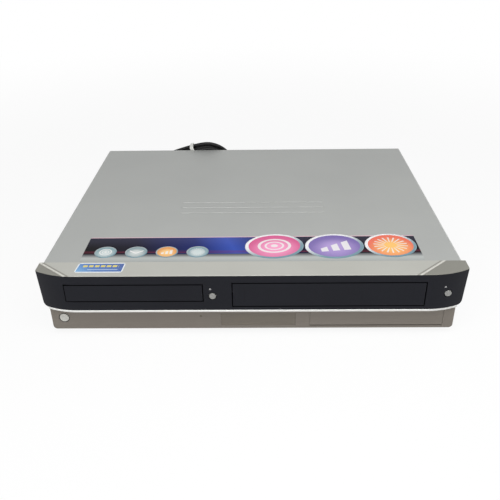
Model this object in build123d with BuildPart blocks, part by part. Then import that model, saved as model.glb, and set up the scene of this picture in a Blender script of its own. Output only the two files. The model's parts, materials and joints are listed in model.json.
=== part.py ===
"""Combination recorder: a disc recorder and a cassette recorder in one case.

Sizes are in millimetres. +Z is up, the front faces -Y and X runs to the right seen from the front.
The origin lies on the floor under the middle of the case.
"""
import os
from math import atan, cos, pi, radians, sin, sqrt, tan

from build123d import *

os.makedirs("parts", exist_ok=True)

# Overall size
WIDTH = 430.0  # across the widest points of the front panel
DEPTH = 354.0  # face of the trim strip to the tips of the rear jacks
HEIGHT = 78.5  # floor to the top of the cover's beads
FOOT_HEIGHT = 8.0  # floor to the underside of the base pan

# Fits
FIT = 0.3  # between pieces that pass or face each other
RUNNING = 0.05  # radial clearance of a shaft or pin in its bore
SEAT = 0.1  # radial clearance of a fixed piece in its hole
DOOR_GAP = 1.1  # round the tray fascia and the cassette door
HATCH_GAP = 0.25  # round the jack door

# Sheet metal case
SHEET = 1.0
COVER_INSET = 3.0  # cover side, set in from the front panel's end
COVER_BEND = 2.5  # outer radius of the cover's long bends
COVER_LIP = 2.0  # cover past the rear panel
JACK_REACH = 9.0  # rear jacks past the rear panel
LEDGE_DEPTH = 26.5  # front face to the cover's front edge
FLANGE_HEIGHT = 14.0  # upturned sides of the base pan
BEAD_HEIGHT = 0.5
BEAD_LENGTH = 170.0
BEAD_WIDTH = 5.0
BEAD_PITCH = 14.0
BEAD_COUNT = 3
BEAD_BACK = 128.0  # cover's front edge to the middle bead
VENT_LENGTH = 24.0
VENT_WIDTH = 3.0
VENT_PITCH = 8.0
VENT_COUNT = 16
PAN_VENT_COUNT = 7
FOOT_RADIUS = 14.0
FOOT_INSET = 32.0  # foot centre in from the cover's side
FOOT_FRONT = 48.0  # foot centre behind the front face
FOOT_REAR = 46.0  # foot centre ahead of the rear panel
SCREW_RADIUS = 1.5
SCREW_HEAD_RADIUS = 3.6
SCREW_HEAD_HEIGHT = 1.8
SCREW_LENGTH = 4.0
SCREW_FRONT = 60.0  # side screws, behind the cover's front edge
SCREW_REAR = 30.0  # side screws, ahead of the cover's rear edge
SCREW_UP = 8.0  # side screws, above the pan's underside

# Front panel
END_BOW = 40.0  # length of each bowed end
BOW_RADIUS = 78.0
TRIM_PROUD = 0.5  # trim strip ahead of the dark panel
LOWER_HEIGHT = 26.5
TRIM_HEIGHT = 2.4
BEZEL_HEIGHT = 40.1
BEZEL_WALL = 3.0
BEZEL_CORNER = 5.0
END_LEAN = 2.6  # each end of the dark front leans in by this from top to foot
LEDGE_DROP = 0.4  # fall of the ledge from the cover to its front edge
LEDGE_ROUND = 0.3
TRIM_ROUND = 0.7
LOWER_RECESS = 9.0  # lower panel behind the front face
LOWER_INSET = 8.0  # lower panel's end, in from the front panel's end
LOWER_WALL = 2.5
LOWER_CORNER = 4.0
WINDOW_WIDTH = 77.5
WINDOW_HEIGHT = 15.0
WINDOW_GAP = 14.45  # between the window and the jack door
WINDOW_Z = 19.0
WINDOW_DEPTH = 2.0
WINDOW_RIM = 2.0  # lens flange behind the panel, past the window all round

# Tray fascia and cassette door
DISC_INSET = 98.0  # middle of the disc drive, in from the front panel's end
FASCIA_WIDTH = 136.8
FASCIA_HEIGHT = 18.4
FASCIA_Z = 57.2
PANEL_DOOR = 2.5  # thickness of fascia and cassette door
TAPE_INSET = 138.3  # middle of the cassette deck, in from the front panel's end
DOOR_WIDTH = 190.0
DOOR_HEIGHT = 26.2
DOOR_Z = 54.75
DOOR_AXIS_BACK = 5.7  # hinge axis behind the door's face
DOOR_AXIS_UP = 4.35  # hinge axis above the door's top edge
DOOR_PIN = 1.5
DOOR_LUG = 2.2  # radius of the lug round the hinge pin
LUG_WIDTH = 4.0
LUG_FOOT = 8.0  # length of the lug's seat on the door
EAR_WIDTH = 4.5

# Buttons
TRAVEL = 1.0
OPEN_STEP = 10.1  # open button from the tray fascia
OPEN_Z = 53.5
EJECT_INSET = 20.0  # from the front panel's end
EJECT_Z = 54.0
SMALL_RADIUS = 3.4  # open and eject buttons
POWER_INSET = 21.0  # from the front panel's end
POWER_Z = 22.0
POWER_RADIUS = 4.75
BUTTON_GAP = 0.8  # dark ring round a button
BUTTON_PROUD = 0.4
BUTTON_FLANGE = 1.8  # flange past the button's hole
FLANGE_THICK = 1.2
STEM_RADIUS = 1.8
KEY_WIDTH = 9.0  # record and stop keys behind the jack door
KEY_HEIGHT = 6.0
KEY_PROUD = 2.0
RECORD_STEP = 21.0  # record key from the hatch's right end
STOP_STEP = 7.0

# Jack door and what is behind it
HATCH_INSET = 11.0  # hatch in from the lower panel's right end
HATCH_WIDTH = 136.0
HATCH_HEIGHT = 19.5
HATCH_LOW = 11.0
HATCH_THICK = 2.2
HATCH_PIN = 0.8
HATCH_PIN_LENGTH = 2.0
PLATE_BACK = 10.0  # jack plate behind the lower panel's face
PLATE_THICK = 2.0
PLATE_OVER = 3.0  # jack plate past the hatch at each end
FRONT_JACK_STEP = 124.0  # first jack from the hatch's right end
FRONT_JACK_PITCH = 14.0
FRONT_JACK_COUNT = 3
JACK_Z = 21.0
JACK_RADIUS = 4.15
JACK_BORE = 1.6
JACK_BORE_DEPTH = 7.0
NECK_STEP = 0.6  # rear jack's neck in the panel, under its barrel
USB_STEP = 74.0  # from the hatch's right end
USB_WIDTH = 12.6  # inside the shell
USB_HEIGHT = 5.2
USB_WALL = 0.5
USB_PROUD = 1.5
CARD_STEP = 47.0  # from the hatch's right end
CARD_WIDTH = 25.0
CARD_HEIGHT = 2.6

# Front board
BOARD = 1.6
BOARD_GAP = 1.5  # front board behind the bezel's rear edge
BOARD_LOW = 11.5
BOARD_TOP = 33.0
BOARD_INSET = 7.0  # board end, in from the lower panel's end
TAB_HALF = 7.0  # half width of the board's tabs behind the upper buttons
TAB_OVER = 7.0  # tab above the button's middle
SWITCH_HALF = 3.0
SWITCH_HEIGHT = 3.5
KEY_SWITCH_HEIGHT = 1.2
BOSS_RADIUS = 2.5
BOSS_STEP = 30.0  # bosses from the power button and from the window
DISPLAY_OVER = 3.0  # display module past the window at each end
DISPLAY_GAP = 1.0  # between the lens and the display module

# Disc drive
DRIVE_HALF = 70.5  # half the frame's width
DRIVE_WALL = 2.0
DRIVE_FLOOR = 2.0
DRIVE_GAP = 0.9  # frame behind the bezel's inner face
DRIVE_LENGTH = 222.0  # front face to the frame's rear
DRIVE_LIFT = 0.3  # frame floor above the bezel's bottom wall
DRIVE_TOP = 62.5
DRIVE_LEG = 4.0
LEG_INSET = 8.0
LEG_FRONT = 41.0  # front legs behind the front face
RAIL_WIDTH = 5.0
RAIL_HEIGHT = 3.0
TRAY_RISE = 3.2  # tray's underside above the sill of its opening
TRAY_THICK = 7.1
TRAY_HALF = 62.0
TRAY_WING = 67.9  # half width over the sliding edges
WING_THICK = 2.0
TRAY_LENGTH = 204.0  # front face to the tray's rear
DISC_BACK = 70.0  # disc centre behind the front face with the tray in
DISC_WELL = 60.8
DISC_FLOOR = 53.5
SMALL_WELL = 40.8
SMALL_FLOOR = 52.6
TRAY_SLOT = 22.0  # half width of the slot for the turntable and the lens
TRAY_STROKE = 138.0
GEAR_MODULE = 1.0
GEAR_PRESSURE = 20.0  # degrees, pressure angle
GEAR_ROOT = 1.25 * GEAR_MODULE  # tooth depth below the pitch line
GEAR_TEETH = 18
GEAR_BACKLASH = 0.3
GEAR_BACK = 27.0  # gear behind the front face
RACK_LINE = 57.5  # rack pitch line, right of the drive's middle
RACK_BACK = 4.0  # rack depth behind the pitch line
RACK_LEAD = 16.0  # rack ahead of the gear with the tray in
RACK_SPARE = 30.0  # rack left behind the gear with the tray out
GEAR_PIN = 1.5
PULLEY_RADIUS = 13.0
PULLEY_RIM = 1.2
PULLEY_HEIGHT = 3.8
RIM_THICK = 0.8
MOTOR_PULLEY_RADIUS = 4.0
PULLEY_SPAN = 42.0  # between the two pulleys
BELT_THICK = 1.2
BELT_HEIGHT = 1.8
BELT_GAP = 0.15
MOTOR_RADIUS = 10.5
MOTOR_LENGTH = 24.0
MOTOR_SHAFT = 1.0

# Traverse with spindle and pickup
TRAVERSE_HALF = 36.0
TRAVERSE_AHEAD = 21.0  # traverse plate ahead of the disc centre
TRAVERSE_OVER = 12.0  # traverse plate behind the rods
TRAVERSE_THICK = 1.5
TRAVERSE_LIFT = 1.0
TRAVERSE_PAD = 4.0
SPINDLE_RADIUS = 13.0
SPINDLE_HEIGHT = 3.6
SPINDLE_SHAFT = 1.5
TURNTABLE_RADIUS = 15.0
TURNTABLE_BEVEL = 1.2
TURNTABLE_TOP = 53.4
HUB_RADIUS = 7.3
HUB_TOP = 55.4
ROD_RADIUS = 1.5
ROD_CAP = 1.0  # stand over a rod
ROD_OFFSET = 24.0
ROD_RISE = 2.7  # rods above the traverse plate
ROD_STEP = 17.0  # rods behind the disc centre
ROD_SPARE = 4.5  # rods past the sled at the end of its stroke
ROD_BLOCK = 4.0
SLED_HALF = 20.0
SLED_STEP = 21.5  # sled behind the disc centre
SLED_LENGTH = 21.0
SLED_STROKE = 31.0
SLED_LOW = 0.8  # sled above the traverse plate
SLED_HEIGHT = 4.6
LENS_RADIUS = 4.0
LENS_BACK = 6.0  # lens behind the sled's front edge
LENS_HEIGHT = 0.9
SCREW_OFFSET = 31.0
LEAD_RADIUS = 1.5
LEAD_KNOB = 2.2

# Clamp
BRIDGE_HALF = 15.0  # half the bridge's length along Y
BRIDGE_THICK = 2.0
CLAMP_RADIUS = 16.0
CLAMP_NECK = 11.0
CLAMP_HOLE_GAP = 1.0
CLAMP_PLATE = 2.2
CLAMP_HANG = 2.9  # clamper plate below the bridge
CLAMP_CAP = 1.5

# Cassette deck
DECK_LOW = 14.0
DECK_THICK = 1.5
DECK_HALF = 101.0
DECK_BACK = 41.0  # deck behind the front face
DECK_POST = 4.0
DECK_POST_INSET = 7.0
CASSETTE_WIDTH = 189.4  # inside the carriage
CASSETTE_HEIGHT = 25.6
CARRIAGE_LOW = 40.0
CARRIAGE_WALL = 1.0
CARRIAGE_BACK = 39.0  # carriage behind the front face
CARRIAGE_LENGTH = 97.0
CARRIAGE_LEDGE = 26.0  # width of each floor ledge
CARRIAGE_LIP = 12.0  # width of each top lip
CARRIAGE_STOP = 12.0  # height of the rear stop
CARRIAGE_STROKE = 68.0
CARRIAGE_DROP = 20.0
GUIDE_PIN = 1.5
GUIDE_GAP = 0.2
SLIDER_WALL = 1.0
SLIDER_LOW = 36.0
SLIDER_STEP = 16.0  # slider behind the carriage's front
SLIDER_LENGTH = 64.0
SLIDER_BAR = 1.0
SLIDER_PIN_Z = 65.0
PIN_STEP = 26.0  # front guide pins behind the carriage's front
PIN_PITCH = 42.0
CARRIAGE_PIN_Z = 60.0
HOUSING_WALL = 1.5
HOUSING_AHEAD = 3.0  # housing ahead of the carriage
HOUSING_SPARE = 10.0  # housing past the rear pins at the end of their stroke
HOUSING_BAR = 1.2
HOUSING_BAR_WIDTH = 14.0
REEL_OFFSET = 46.0
REEL_BACK = 35.0  # reels behind the front of the carriage when it is in
REEL_RADIUS = 18.0
REEL_HUB = 10.5
REEL_NOSE = 7.0
REEL_FIN = 1.6
REEL_PLATE = 2.0
REEL_HUB_TOP = 24.0
REEL_TOP = 35.0
REEL_PIN = 2.0
DRUM_RADIUS = 31.0
DRUM_SHIFT = -5.0  # drum left of the deck's middle
DRUM_BEHIND = 4.0  # drum behind the carriage at the end of its stroke
DRUM_SPLIT = 34.0
DRUM_TOP = 54.0
DRUM_CAP_RADIUS = 22.0
DRUM_CAP = 4.0
DRUM_SHAFT = 3.0
DECK_MARGIN = 6.0  # deck past the drum
CAPSTAN_OFFSET = 60.0
CAPSTAN_AHEAD = 28.0  # capstan ahead of the drum's middle
CAPSTAN_RADIUS = 2.0
CAPSTAN_TOP = 37.0
FLYWHEEL_RADIUS = 20.0
FLYWHEEL_GAP = 0.8
PIVOT_OFFSET = 85.0
PIVOT_AHEAD = 16.0  # pinch pivot ahead of the drum's middle
PIVOT_RADIUS = 2.0
PINCH_ARM = 20.0
PINCH_ANGLE = 170.6  # arm direction at rest, from +X
PINCH_ARM_THICK = 2.0
PINCH_BOSS = 4.5
PINCH_RADIUS = 7.0
PINCH_PIN = 1.5
PINCH_HEIGHT = 16.0

# Boards, rear jacks and fan
BOARD_RISE = 7.0  # boards above the base pan
STANDOFF = 3.0
MAIN_INSET = 40.0  # main board in from the cover's side
MAIN_WIDTH = 86.0
MAIN_FRONT = 24.5  # behind the cover's front edge
CHIP_HEIGHT = 2.0
CHIP_HALF = 12.0
SINK_HEIGHT = 12.0
SINK_FIN = 1.2
SINK_FINS = 6
POWER_BOARD_INSET = 12.0  # in from the cover's side
POWER_BOARD_WIDTH = 138.0
POWER_BOARD_BACK = 9.0  # ahead of the rear panel
POWER_BOARD_LENGTH = 98.0
BOARD_SPACE = 30.0  # between the main and power boards
TRANSFORMER = (36.0, 32.0, 21.0)
CAPACITOR_RADIUS = 11.0
CAPACITOR_HEIGHT = 22.0
CAPACITOR_SPREAD = 16.5  # each side of the board's middle
HEAT_PLATE = (60.0, 3.0, 22.0)
JACK_BOARD_INSET = 10.0  # in from the cover's side
JACK_BOARD_WIDTH = 136.0
JACK_BOARD_LENGTH = 55.0
REAR_JACK_STEP = 38.0  # middle of the jacks from the jack board's left end
REAR_JACK_Z = 40.0
REAR_JACK_PITCH = 14.0
REAR_JACK_COLUMNS = 5
REAR_JACK_ROWS = 2
JACK_BLOCK = 14.0  # depth of the moulded block behind the jacks
BLOCK_MARGIN = 7.0
TUNER_INSET = 14.0  # in from the cover's side
TUNER_WIDTH = 46.0
TUNER_LENGTH = 48.0
TUNER_HEIGHT = 34.0
AERIAL_RADIUS = 4.75
AERIAL_BORE = 1.2
AERIAL_PITCH = 16.0
AERIAL_Z = 34.0
FAN_X = -22.0
FAN_Z = 45.0
FAN_SIZE = 40.0
FAN_DEPTH = 10.0
FAN_CORNER = 3.0
FAN_BORE = 18.6
FAN_CUP = 9.0
FAN_BACK = 1.5
FAN_SPOKE = 3.0
ROTOR_RADIUS = 18.0
ROTOR_HUB = 10.0
ROTOR_PIN = 1.2
BLADE_COUNT = 7
BLADE_THICK = 1.2
BLADE_PITCH = 38.0
GRILLE_SLOT = 3.0
GRILLE_LENGTH = 1.5 * FAN_BORE
GRILLE_PITCH = 5.5
GRILLE_COUNT = 6

# Mains lead
CORD_RADIUS = 2.5
GLAND_X = 45.0
GLAND_Z = 24.0
GLAND_NECK = 5.0
GLAND_FLANGE = 8.0
GLAND_FLANGE_THICK = 2.0
GLAND_LENGTH = 20.0
GLAND_ROOT = 6.5
GLAND_TIP = 3.8
GLAND_INSIDE = 3.0
HANK_X = -90.0
HANK_LEAN = 15.0  # degrees from upright, top towards the case
HANK_SLOPE = 19.0  # degrees, upper run against the lower run
HANK_RUN = 40.0
HANK_PITCH = 5.6
HANK_LEFT = 35.5  # radius of the outer left loop
HANK_TURNS = 3  # turns in each of the two layers
HANK_END = 10.0  # straight run at each end
TIE_ALONG = 31.0  # tie from the left end of the upper run
TIE_WIDTH = 5.0
TIE_THICK = 0.8
TIE_GAP = 0.4
PLUG_WIDTH = 22.0
PLUG_THICK = 14.0
PLUG_LENGTH = 24.0
PLUG_ROUND = 3.0
PLUG_TAIL = 12.0
PLUG_MOUTH = 0.6  # neck round the cord
PLUG_TAIL_RADIUS = 4.5
BLADE_WIDTH = 6.3
BLADE_GAUGE = 1.5
BLADE_LENGTH = 17.0
BLADE_SPREAD = 12.7

# Places worked out from the sizes above
front_y = -DEPTH / 2
panel_y = DEPTH / 2 - JACK_REACH  # rear face of the rear panel
panel_in = panel_y - SHEET
cover_half = WIDTH / 2 - COVER_INSET
cover_front = front_y + LEDGE_DEPTH
cover_rear = panel_y + COVER_LIP
cover_flat = HEIGHT - BEAD_HEIGHT
cover_low = FOOT_HEIGHT + SHEET
pan_top = FOOT_HEIGHT + SHEET
pan_half = cover_half - SHEET - FIT
trim_low = FOOT_HEIGHT + LOWER_HEIGHT
bezel_low = trim_low + TRIM_HEIGHT
ledge_low = bezel_low + BEZEL_HEIGHT
bezel_face = front_y + TRIM_PROUD
bezel_in = bezel_face + BEZEL_WALL
lower_half = WIDTH / 2 - LOWER_INSET
lower_face = front_y + LOWER_RECESS
lower_in = lower_face + LOWER_WALL
plate_face = lower_face + PLATE_BACK
plate_in = plate_face + PLATE_THICK
board_face = cover_front + BOARD_GAP
disc_x = -WIDTH / 2 + DISC_INSET
tape_x = WIDTH / 2 - TAPE_INSET
open_x = disc_x + FASCIA_WIDTH / 2 + OPEN_STEP
eject_x = WIDTH / 2 - EJECT_INSET
power_x = -WIDTH / 2 + POWER_INSET
hatch_right = lower_half - HATCH_INSET
hatch_x = hatch_right - HATCH_WIDTH / 2
window_x = hatch_right - HATCH_WIDTH - WINDOW_GAP - WINDOW_WIDTH / 2
record_x = hatch_right - RECORD_STEP
stop_x = hatch_right - STOP_STEP
usb_x = hatch_right - USB_STEP
card_x = hatch_right - CARD_STEP
door_axis = (bezel_face + DOOR_AXIS_BACK, DOOR_Z + DOOR_HEIGHT / 2 + DOOR_AXIS_UP)
hatch_axis = (lower_face + SEAT + HATCH_THICK / 2, HATCH_LOW + HATCH_THICK / 2)
gear_radius = GEAR_MODULE * GEAR_TEETH / 2
gear_x = disc_x + RACK_LINE - gear_radius
drive_rear = front_y + DRIVE_LENGTH
leg_front = front_y + LEG_FRONT
leg_rear = drive_rear - LEG_INSET
tray_rear = front_y + TRAY_LENGTH
disc_y = front_y + DISC_BACK
gear_y = front_y + GEAR_BACK
traverse_front = disc_y - TRAVERSE_AHEAD
rod_front = disc_y + ROD_STEP
sled_front = disc_y + SLED_STEP
sill = FASCIA_Z - FASCIA_HEIGHT / 2 - DOOR_GAP
tray_low = sill + TRAY_RISE
tray_top = tray_low + TRAY_THICK
rack_low = sill + FIT
drive_low = bezel_low + BEZEL_WALL + DRIVE_LIFT
drive_floor = drive_low + DRIVE_FLOOR
traverse_low = drive_floor + TRAVERSE_LIFT
traverse_top = traverse_low + TRAVERSE_THICK
rod_z = traverse_top + ROD_RISE
rod_rear = sled_front + SLED_LENGTH + SLED_STROKE + ROD_SPARE
traverse_rear = rod_rear + TRAVERSE_OVER
deck_top = DECK_LOW + DECK_THICK
deck_front = front_y + DECK_BACK
carriage_front = front_y + CARRIAGE_BACK
slider_front = carriage_front + SLIDER_STEP
pin_front = carriage_front + PIN_STEP
housing_front = carriage_front - HOUSING_AHEAD
housing_rear = pin_front + PIN_PITCH + CARRIAGE_STROKE + HOUSING_SPARE
reel_y = carriage_front + CARRIAGE_STROKE + REEL_BACK
carriage_half = CASSETTE_WIDTH / 2 + CARRIAGE_WALL
slider_half = carriage_half + FIT + SLIDER_WALL
housing_half = slider_half + FIT + HOUSING_WALL
carriage_top = CARRIAGE_LOW + 2 * CARRIAGE_WALL + CASSETTE_HEIGHT
drum_x = tape_x + DRUM_SHIFT
drum_y = carriage_front + CARRIAGE_LENGTH + CARRIAGE_STROKE + DRUM_BEHIND + DRUM_RADIUS
deck_rear = drum_y + DRUM_RADIUS + DECK_MARGIN
capstan_x = tape_x + CAPSTAN_OFFSET
capstan_y = drum_y - CAPSTAN_AHEAD
pivot_y = drum_y - PIVOT_AHEAD
pivot_x = tape_x + PIVOT_OFFSET
board_low = pan_top + BOARD_RISE
board_top = board_low + BOARD
power_board_x = (-cover_half + POWER_BOARD_INSET, -cover_half + POWER_BOARD_INSET + POWER_BOARD_WIDTH)
power_board_y = (panel_in - POWER_BOARD_BACK - POWER_BOARD_LENGTH, panel_in - POWER_BOARD_BACK)
main_x = (-cover_half + MAIN_INSET, -cover_half + MAIN_INSET + MAIN_WIDTH)
main_y = (cover_front + MAIN_FRONT, power_board_y[0] - BOARD_SPACE)
jack_board_x = (cover_half - JACK_BOARD_INSET - JACK_BOARD_WIDTH, cover_half - JACK_BOARD_INSET)
jack_board_front = panel_in - JACK_BOARD_LENGTH
rear_jack_x = jack_board_x[0] + REAR_JACK_STEP
tuner_x = (cover_half - TUNER_INSET - TUNER_WIDTH, cover_half - TUNER_INSET)
foot_places = [
    (sx * (cover_half - FOOT_INSET), y)
    for sx in (-1, 1)
    for y in (front_y + FOOT_FRONT, panel_y - FOOT_REAR)
]
screw_ys = (cover_front + SCREW_FRONT, cover_rear - SCREW_REAR)
screw_z = FOOT_HEIGHT + SCREW_UP
front_jack_xs = [hatch_right - FRONT_JACK_STEP + i * FRONT_JACK_PITCH for i in range(FRONT_JACK_COUNT)]
rear_jack_places = [
    (rear_jack_x + (i - (REAR_JACK_COLUMNS - 1) / 2) * REAR_JACK_PITCH, REAR_JACK_Z + j * REAR_JACK_PITCH)
    for i in range(REAR_JACK_COLUMNS)
    for j in range(REAR_JACK_ROWS)
]
aerial_x = sum(tuner_x) / 2
aerial_zs = (AERIAL_Z - AERIAL_PITCH / 2, AERIAL_Z + AERIAL_PITCH / 2)


def block(x, y, z, mode=Mode.ADD):
    """A box between the (low, high) limits on each axis."""
    with Locations(((x[0] + x[1]) / 2, (y[0] + y[1]) / 2, (z[0] + z[1]) / 2)):
        Box(x[1] - x[0], y[1] - y[0], z[1] - z[0], mode=mode)


def about(middle, half):
    """The (low, high) limits of a span about its middle."""
    return (middle - half, middle + half)


def post(x, y, z, radius, mode=Mode.ADD):
    """A round post along Z, with z as (low, high)."""
    with Locations((x, y, z[0])):
        Cylinder(radius, z[1] - z[0], align=(Align.CENTER, Align.CENTER, Align.MIN), mode=mode)


def rod_x(x, y, z, radius, mode=Mode.ADD):
    """A round rod along X, with x as (low, high)."""
    with Locations(Plane(origin=(x[0], y, z), z_dir=(1, 0, 0))):
        Cylinder(radius, x[1] - x[0], align=(Align.CENTER, Align.CENTER, Align.MIN), mode=mode)


def rod_y(x, y, z, radius, mode=Mode.ADD):
    """A round rod along Y, with y as (low, high)."""
    with Locations(Plane(origin=(x, y[0], z), z_dir=(0, 1, 0))):
        Cylinder(radius, y[1] - y[0], align=(Align.CENTER, Align.CENTER, Align.MIN), mode=mode)


def finish(piece, name):
    """Labels a finished piece and writes it to its own file."""
    piece.part.label = name
    export_step(piece.part, f"parts/{name}.step")


def bow_y(x, inset):
    """Y of the bowed front, set back by inset, at x from the middle."""
    over = max(0.0, abs(x) - (WIDTH / 2 - END_BOW))
    return front_y + BOW_RADIUS - sqrt((BOW_RADIUS - inset) ** 2 - over**2)


def bowed_plan(inset, half, back):
    """Fills the open sketch with the front's plan: flat middle, bowed ends, square behind."""
    flat = WIDTH / 2 - END_BOW
    mid = (flat + half) / 2
    left = [(-x, bow_y(x, inset)) for x in (half, mid, flat)]
    right = [(x, bow_y(x, inset)) for x in (flat, mid, half)]
    with BuildLine() as outline:
        ThreePointArc(*left)
        Line(left[-1], right[0])
        ThreePointArc(*right)
        Polyline(right[-1], (half, back), (-half, back), left[0])
    make_face(outline.edges())


def front_form(inset, low, high):
    """The dark front's form, set in by inset: bowed plan, and ends that lean in towards the foot."""
    foot = WIDTH / 2 - inset - END_LEAN * (ledge_low - low) / BEZEL_HEIGHT
    head = WIDTH / 2 - inset - END_LEAN * (ledge_low - high) / BEZEL_HEIGHT
    with BuildPart() as form:
        with BuildSketch(Plane.XY.offset(low)):
            bowed_plan(TRIM_PROUD + inset, WIDTH / 2 - inset, cover_front)
        extrude(amount=high - low)
        with BuildSketch(Plane.XZ.offset(-cover_front)):
            with BuildLine():
                Polyline((-foot, low), (foot, low), (head, high), (-head, high), close=True)
            make_face()
        extrude(amount=LEDGE_DEPTH, mode=Mode.INTERSECT)
    return form.part


# Base pan: sheet floor with upturned sides, vents and board standoffs
with BuildPart() as base_pan:
    block((-pan_half, pan_half), (cover_front, panel_in), (FOOT_HEIGHT, pan_top))
    for side in (-1, 1):
        wall = sorted((side * pan_half, side * (pan_half - SHEET)))
        block(wall, (cover_front, panel_in), (pan_top, FOOT_HEIGHT + FLANGE_HEIGHT))
        for y in screw_ys:
            rod_x(about(side * pan_half, 2 * SHEET), y, screw_z, SCREW_RADIUS + SEAT, Mode.SUBTRACT)
    for xs, ys in ((main_x, main_y), (power_board_x, power_board_y), (jack_board_x, (jack_board_front, panel_in))):
        for x in (xs[0] + 2 * STANDOFF, xs[1] - 2 * STANDOFF):
            for y in (ys[0] + 2 * STANDOFF, ys[1] - 2 * STANDOFF):
                post(x, y, (pan_top, board_low), STANDOFF)
    with BuildSketch(Plane.XY.offset(FOOT_HEIGHT)):
        with Locations((sum(main_x) / 2, sum(main_y) / 2), (sum(power_board_x) / 2, sum(power_board_y) / 2)):
            with GridLocations(VENT_PITCH, VENT_PITCH, PAN_VENT_COUNT, 1):
                SlotOverall(VENT_LENGTH, VENT_WIDTH, rotation=90)
    extrude(amount=SHEET, mode=Mode.SUBTRACT)
finish(base_pan, "base_pan")

# Feet: four round feet under the pan
with BuildPart() as feet:
    for x, y in foot_places:
        post(x, y, (0, FOOT_HEIGHT), FOOT_RADIUS)
    chamfer(feet.edges().group_by(Axis.Z)[0], SHEET)
finish(feet, "feet")

# Rear panel: sheet with holes for the jacks, the aerial sockets, the gland and the fan's air
with BuildPart() as rear_panel:
    block((-pan_half, pan_half), (panel_in, panel_y), (FOOT_HEIGHT, cover_flat - SHEET - FIT))
    fillet(rear_panel.edges().filter_by(Axis.Y).group_by(Axis.Z)[-1], COVER_BEND)
    for x, z in rear_jack_places:
        rod_y(x, (panel_in, panel_y), z, JACK_RADIUS - NECK_STEP + FIT, Mode.SUBTRACT)
    for z in aerial_zs:
        rod_y(aerial_x, (panel_in, panel_y), z, AERIAL_RADIUS - NECK_STEP + FIT, Mode.SUBTRACT)
    rod_y(GLAND_X, (panel_in, panel_y), GLAND_Z, GLAND_NECK + SEAT, Mode.SUBTRACT)
    with BuildSketch(Plane.XZ.offset(-panel_y)):
        with Locations((FAN_X, FAN_Z)):
            with GridLocations(GRILLE_PITCH, GRILLE_PITCH, GRILLE_COUNT, 1):
                SlotOverall(GRILLE_LENGTH, GRILLE_SLOT, rotation=90)
    extrude(amount=SHEET, mode=Mode.SUBTRACT)
finish(rear_panel, "rear_panel")

# Top cover: folded sheet with rounded bends, stiffening beads and side vents
with BuildPart() as top_cover:
    with BuildSketch(Plane.XZ.offset(-cover_rear)) as cover_outside:
        with Locations((0, (cover_low + cover_flat) / 2)):
            Rectangle(2 * cover_half, cover_flat - cover_low)
        fillet(cover_outside.vertices().group_by(Axis.Y)[-1], COVER_BEND)
    extrude(amount=cover_rear - cover_front)
    with BuildSketch(Plane.XZ.offset(-cover_rear)) as cover_inside:
        with Locations((0, (cover_low + cover_flat) / 2 - SHEET)):
            Rectangle(2 * (cover_half - SHEET), cover_flat - cover_low)
        fillet(cover_inside.vertices().group_by(Axis.Y)[-1], COVER_BEND - SHEET)
    extrude(amount=cover_rear - cover_front, mode=Mode.SUBTRACT)
    with BuildSketch(Plane.XY.offset(cover_flat)):
        with Locations((0, cover_front + BEAD_BACK)):
            with GridLocations(BEAD_PITCH, BEAD_PITCH, 1, BEAD_COUNT):
                SlotOverall(BEAD_LENGTH, BEAD_WIDTH)
    extrude(amount=BEAD_HEIGHT)
    fillet(top_cover.edges().group_by(Axis.Z)[-1], BEAD_HEIGHT * 0.9)
    with BuildSketch(Plane.YZ.offset(-cover_half)):
        with Locations(((cover_front + cover_rear) / 2, (cover_low + cover_flat) / 2)):
            with GridLocations(VENT_PITCH, VENT_PITCH, VENT_COUNT, 1):
                SlotOverall(VENT_LENGTH, VENT_WIDTH, rotation=90)
    extrude(amount=2 * cover_half, mode=Mode.SUBTRACT)
    for side in (-1, 1):
        for y in screw_ys:
            rod_x(about(side * cover_half, 2 * SHEET), y, screw_z, SCREW_RADIUS + SEAT, Mode.SUBTRACT)
finish(top_cover, "top_cover")

# Case screws: domed heads outside the cover, shanks through cover and pan
with BuildPart() as case_screws:
    for side in (-1, 1):
        for y in screw_ys:
            head = sorted((side * cover_half, side * (cover_half + SCREW_HEAD_HEIGHT)))
            rod_x(head, y, screw_z, SCREW_HEAD_RADIUS)
            rod_x(sorted((side * cover_half, side * (cover_half - SCREW_LENGTH))), y, screw_z, SCREW_RADIUS)
finish(case_screws, "case_screws")

# Dark front bezel: bowed shell with leaning ends and the openings for tray, cassette and two buttons
door_open = DOOR_WIDTH / 2 + DOOR_GAP
with BuildPart() as front_bezel:
    add(front_form(0, bezel_low, ledge_low))
    fillet(front_bezel.edges().filter_by(Axis.Y).group_by(Axis.Z)[0], BEZEL_CORNER)
    add(front_form(BEZEL_WALL, bezel_low + BEZEL_WALL, ledge_low + BEZEL_WALL), mode=Mode.SUBTRACT)
    block(
        about(disc_x, FASCIA_WIDTH / 2 + DOOR_GAP),
        (front_y, cover_front),
        about(FASCIA_Z, FASCIA_HEIGHT / 2 + DOOR_GAP),
        Mode.SUBTRACT,
    )
    block(
        about(tape_x, door_open),
        (front_y, cover_front),
        about(DOOR_Z, DOOR_HEIGHT / 2 + DOOR_GAP),
        Mode.SUBTRACT,
    )
    for side in (-1, 1):
        ear = sorted((tape_x + side * door_open, tape_x + side * (door_open + EAR_WIDTH)))
        block(ear, (bezel_in, door_axis[0] + DOOR_LUG + DOOR_PIN), (door_axis[1] - 2 * DOOR_LUG, ledge_low))
        rod_x(ear, *door_axis, DOOR_PIN + RUNNING, Mode.SUBTRACT)
    for x, z in ((open_x, OPEN_Z), (eject_x, EJECT_Z)):
        rod_y(x, (front_y, bow_y(x, 0) + 3 * BEZEL_WALL), z, SMALL_RADIUS + BUTTON_GAP, Mode.SUBTRACT)
finish(front_bezel, "front_bezel")

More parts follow.
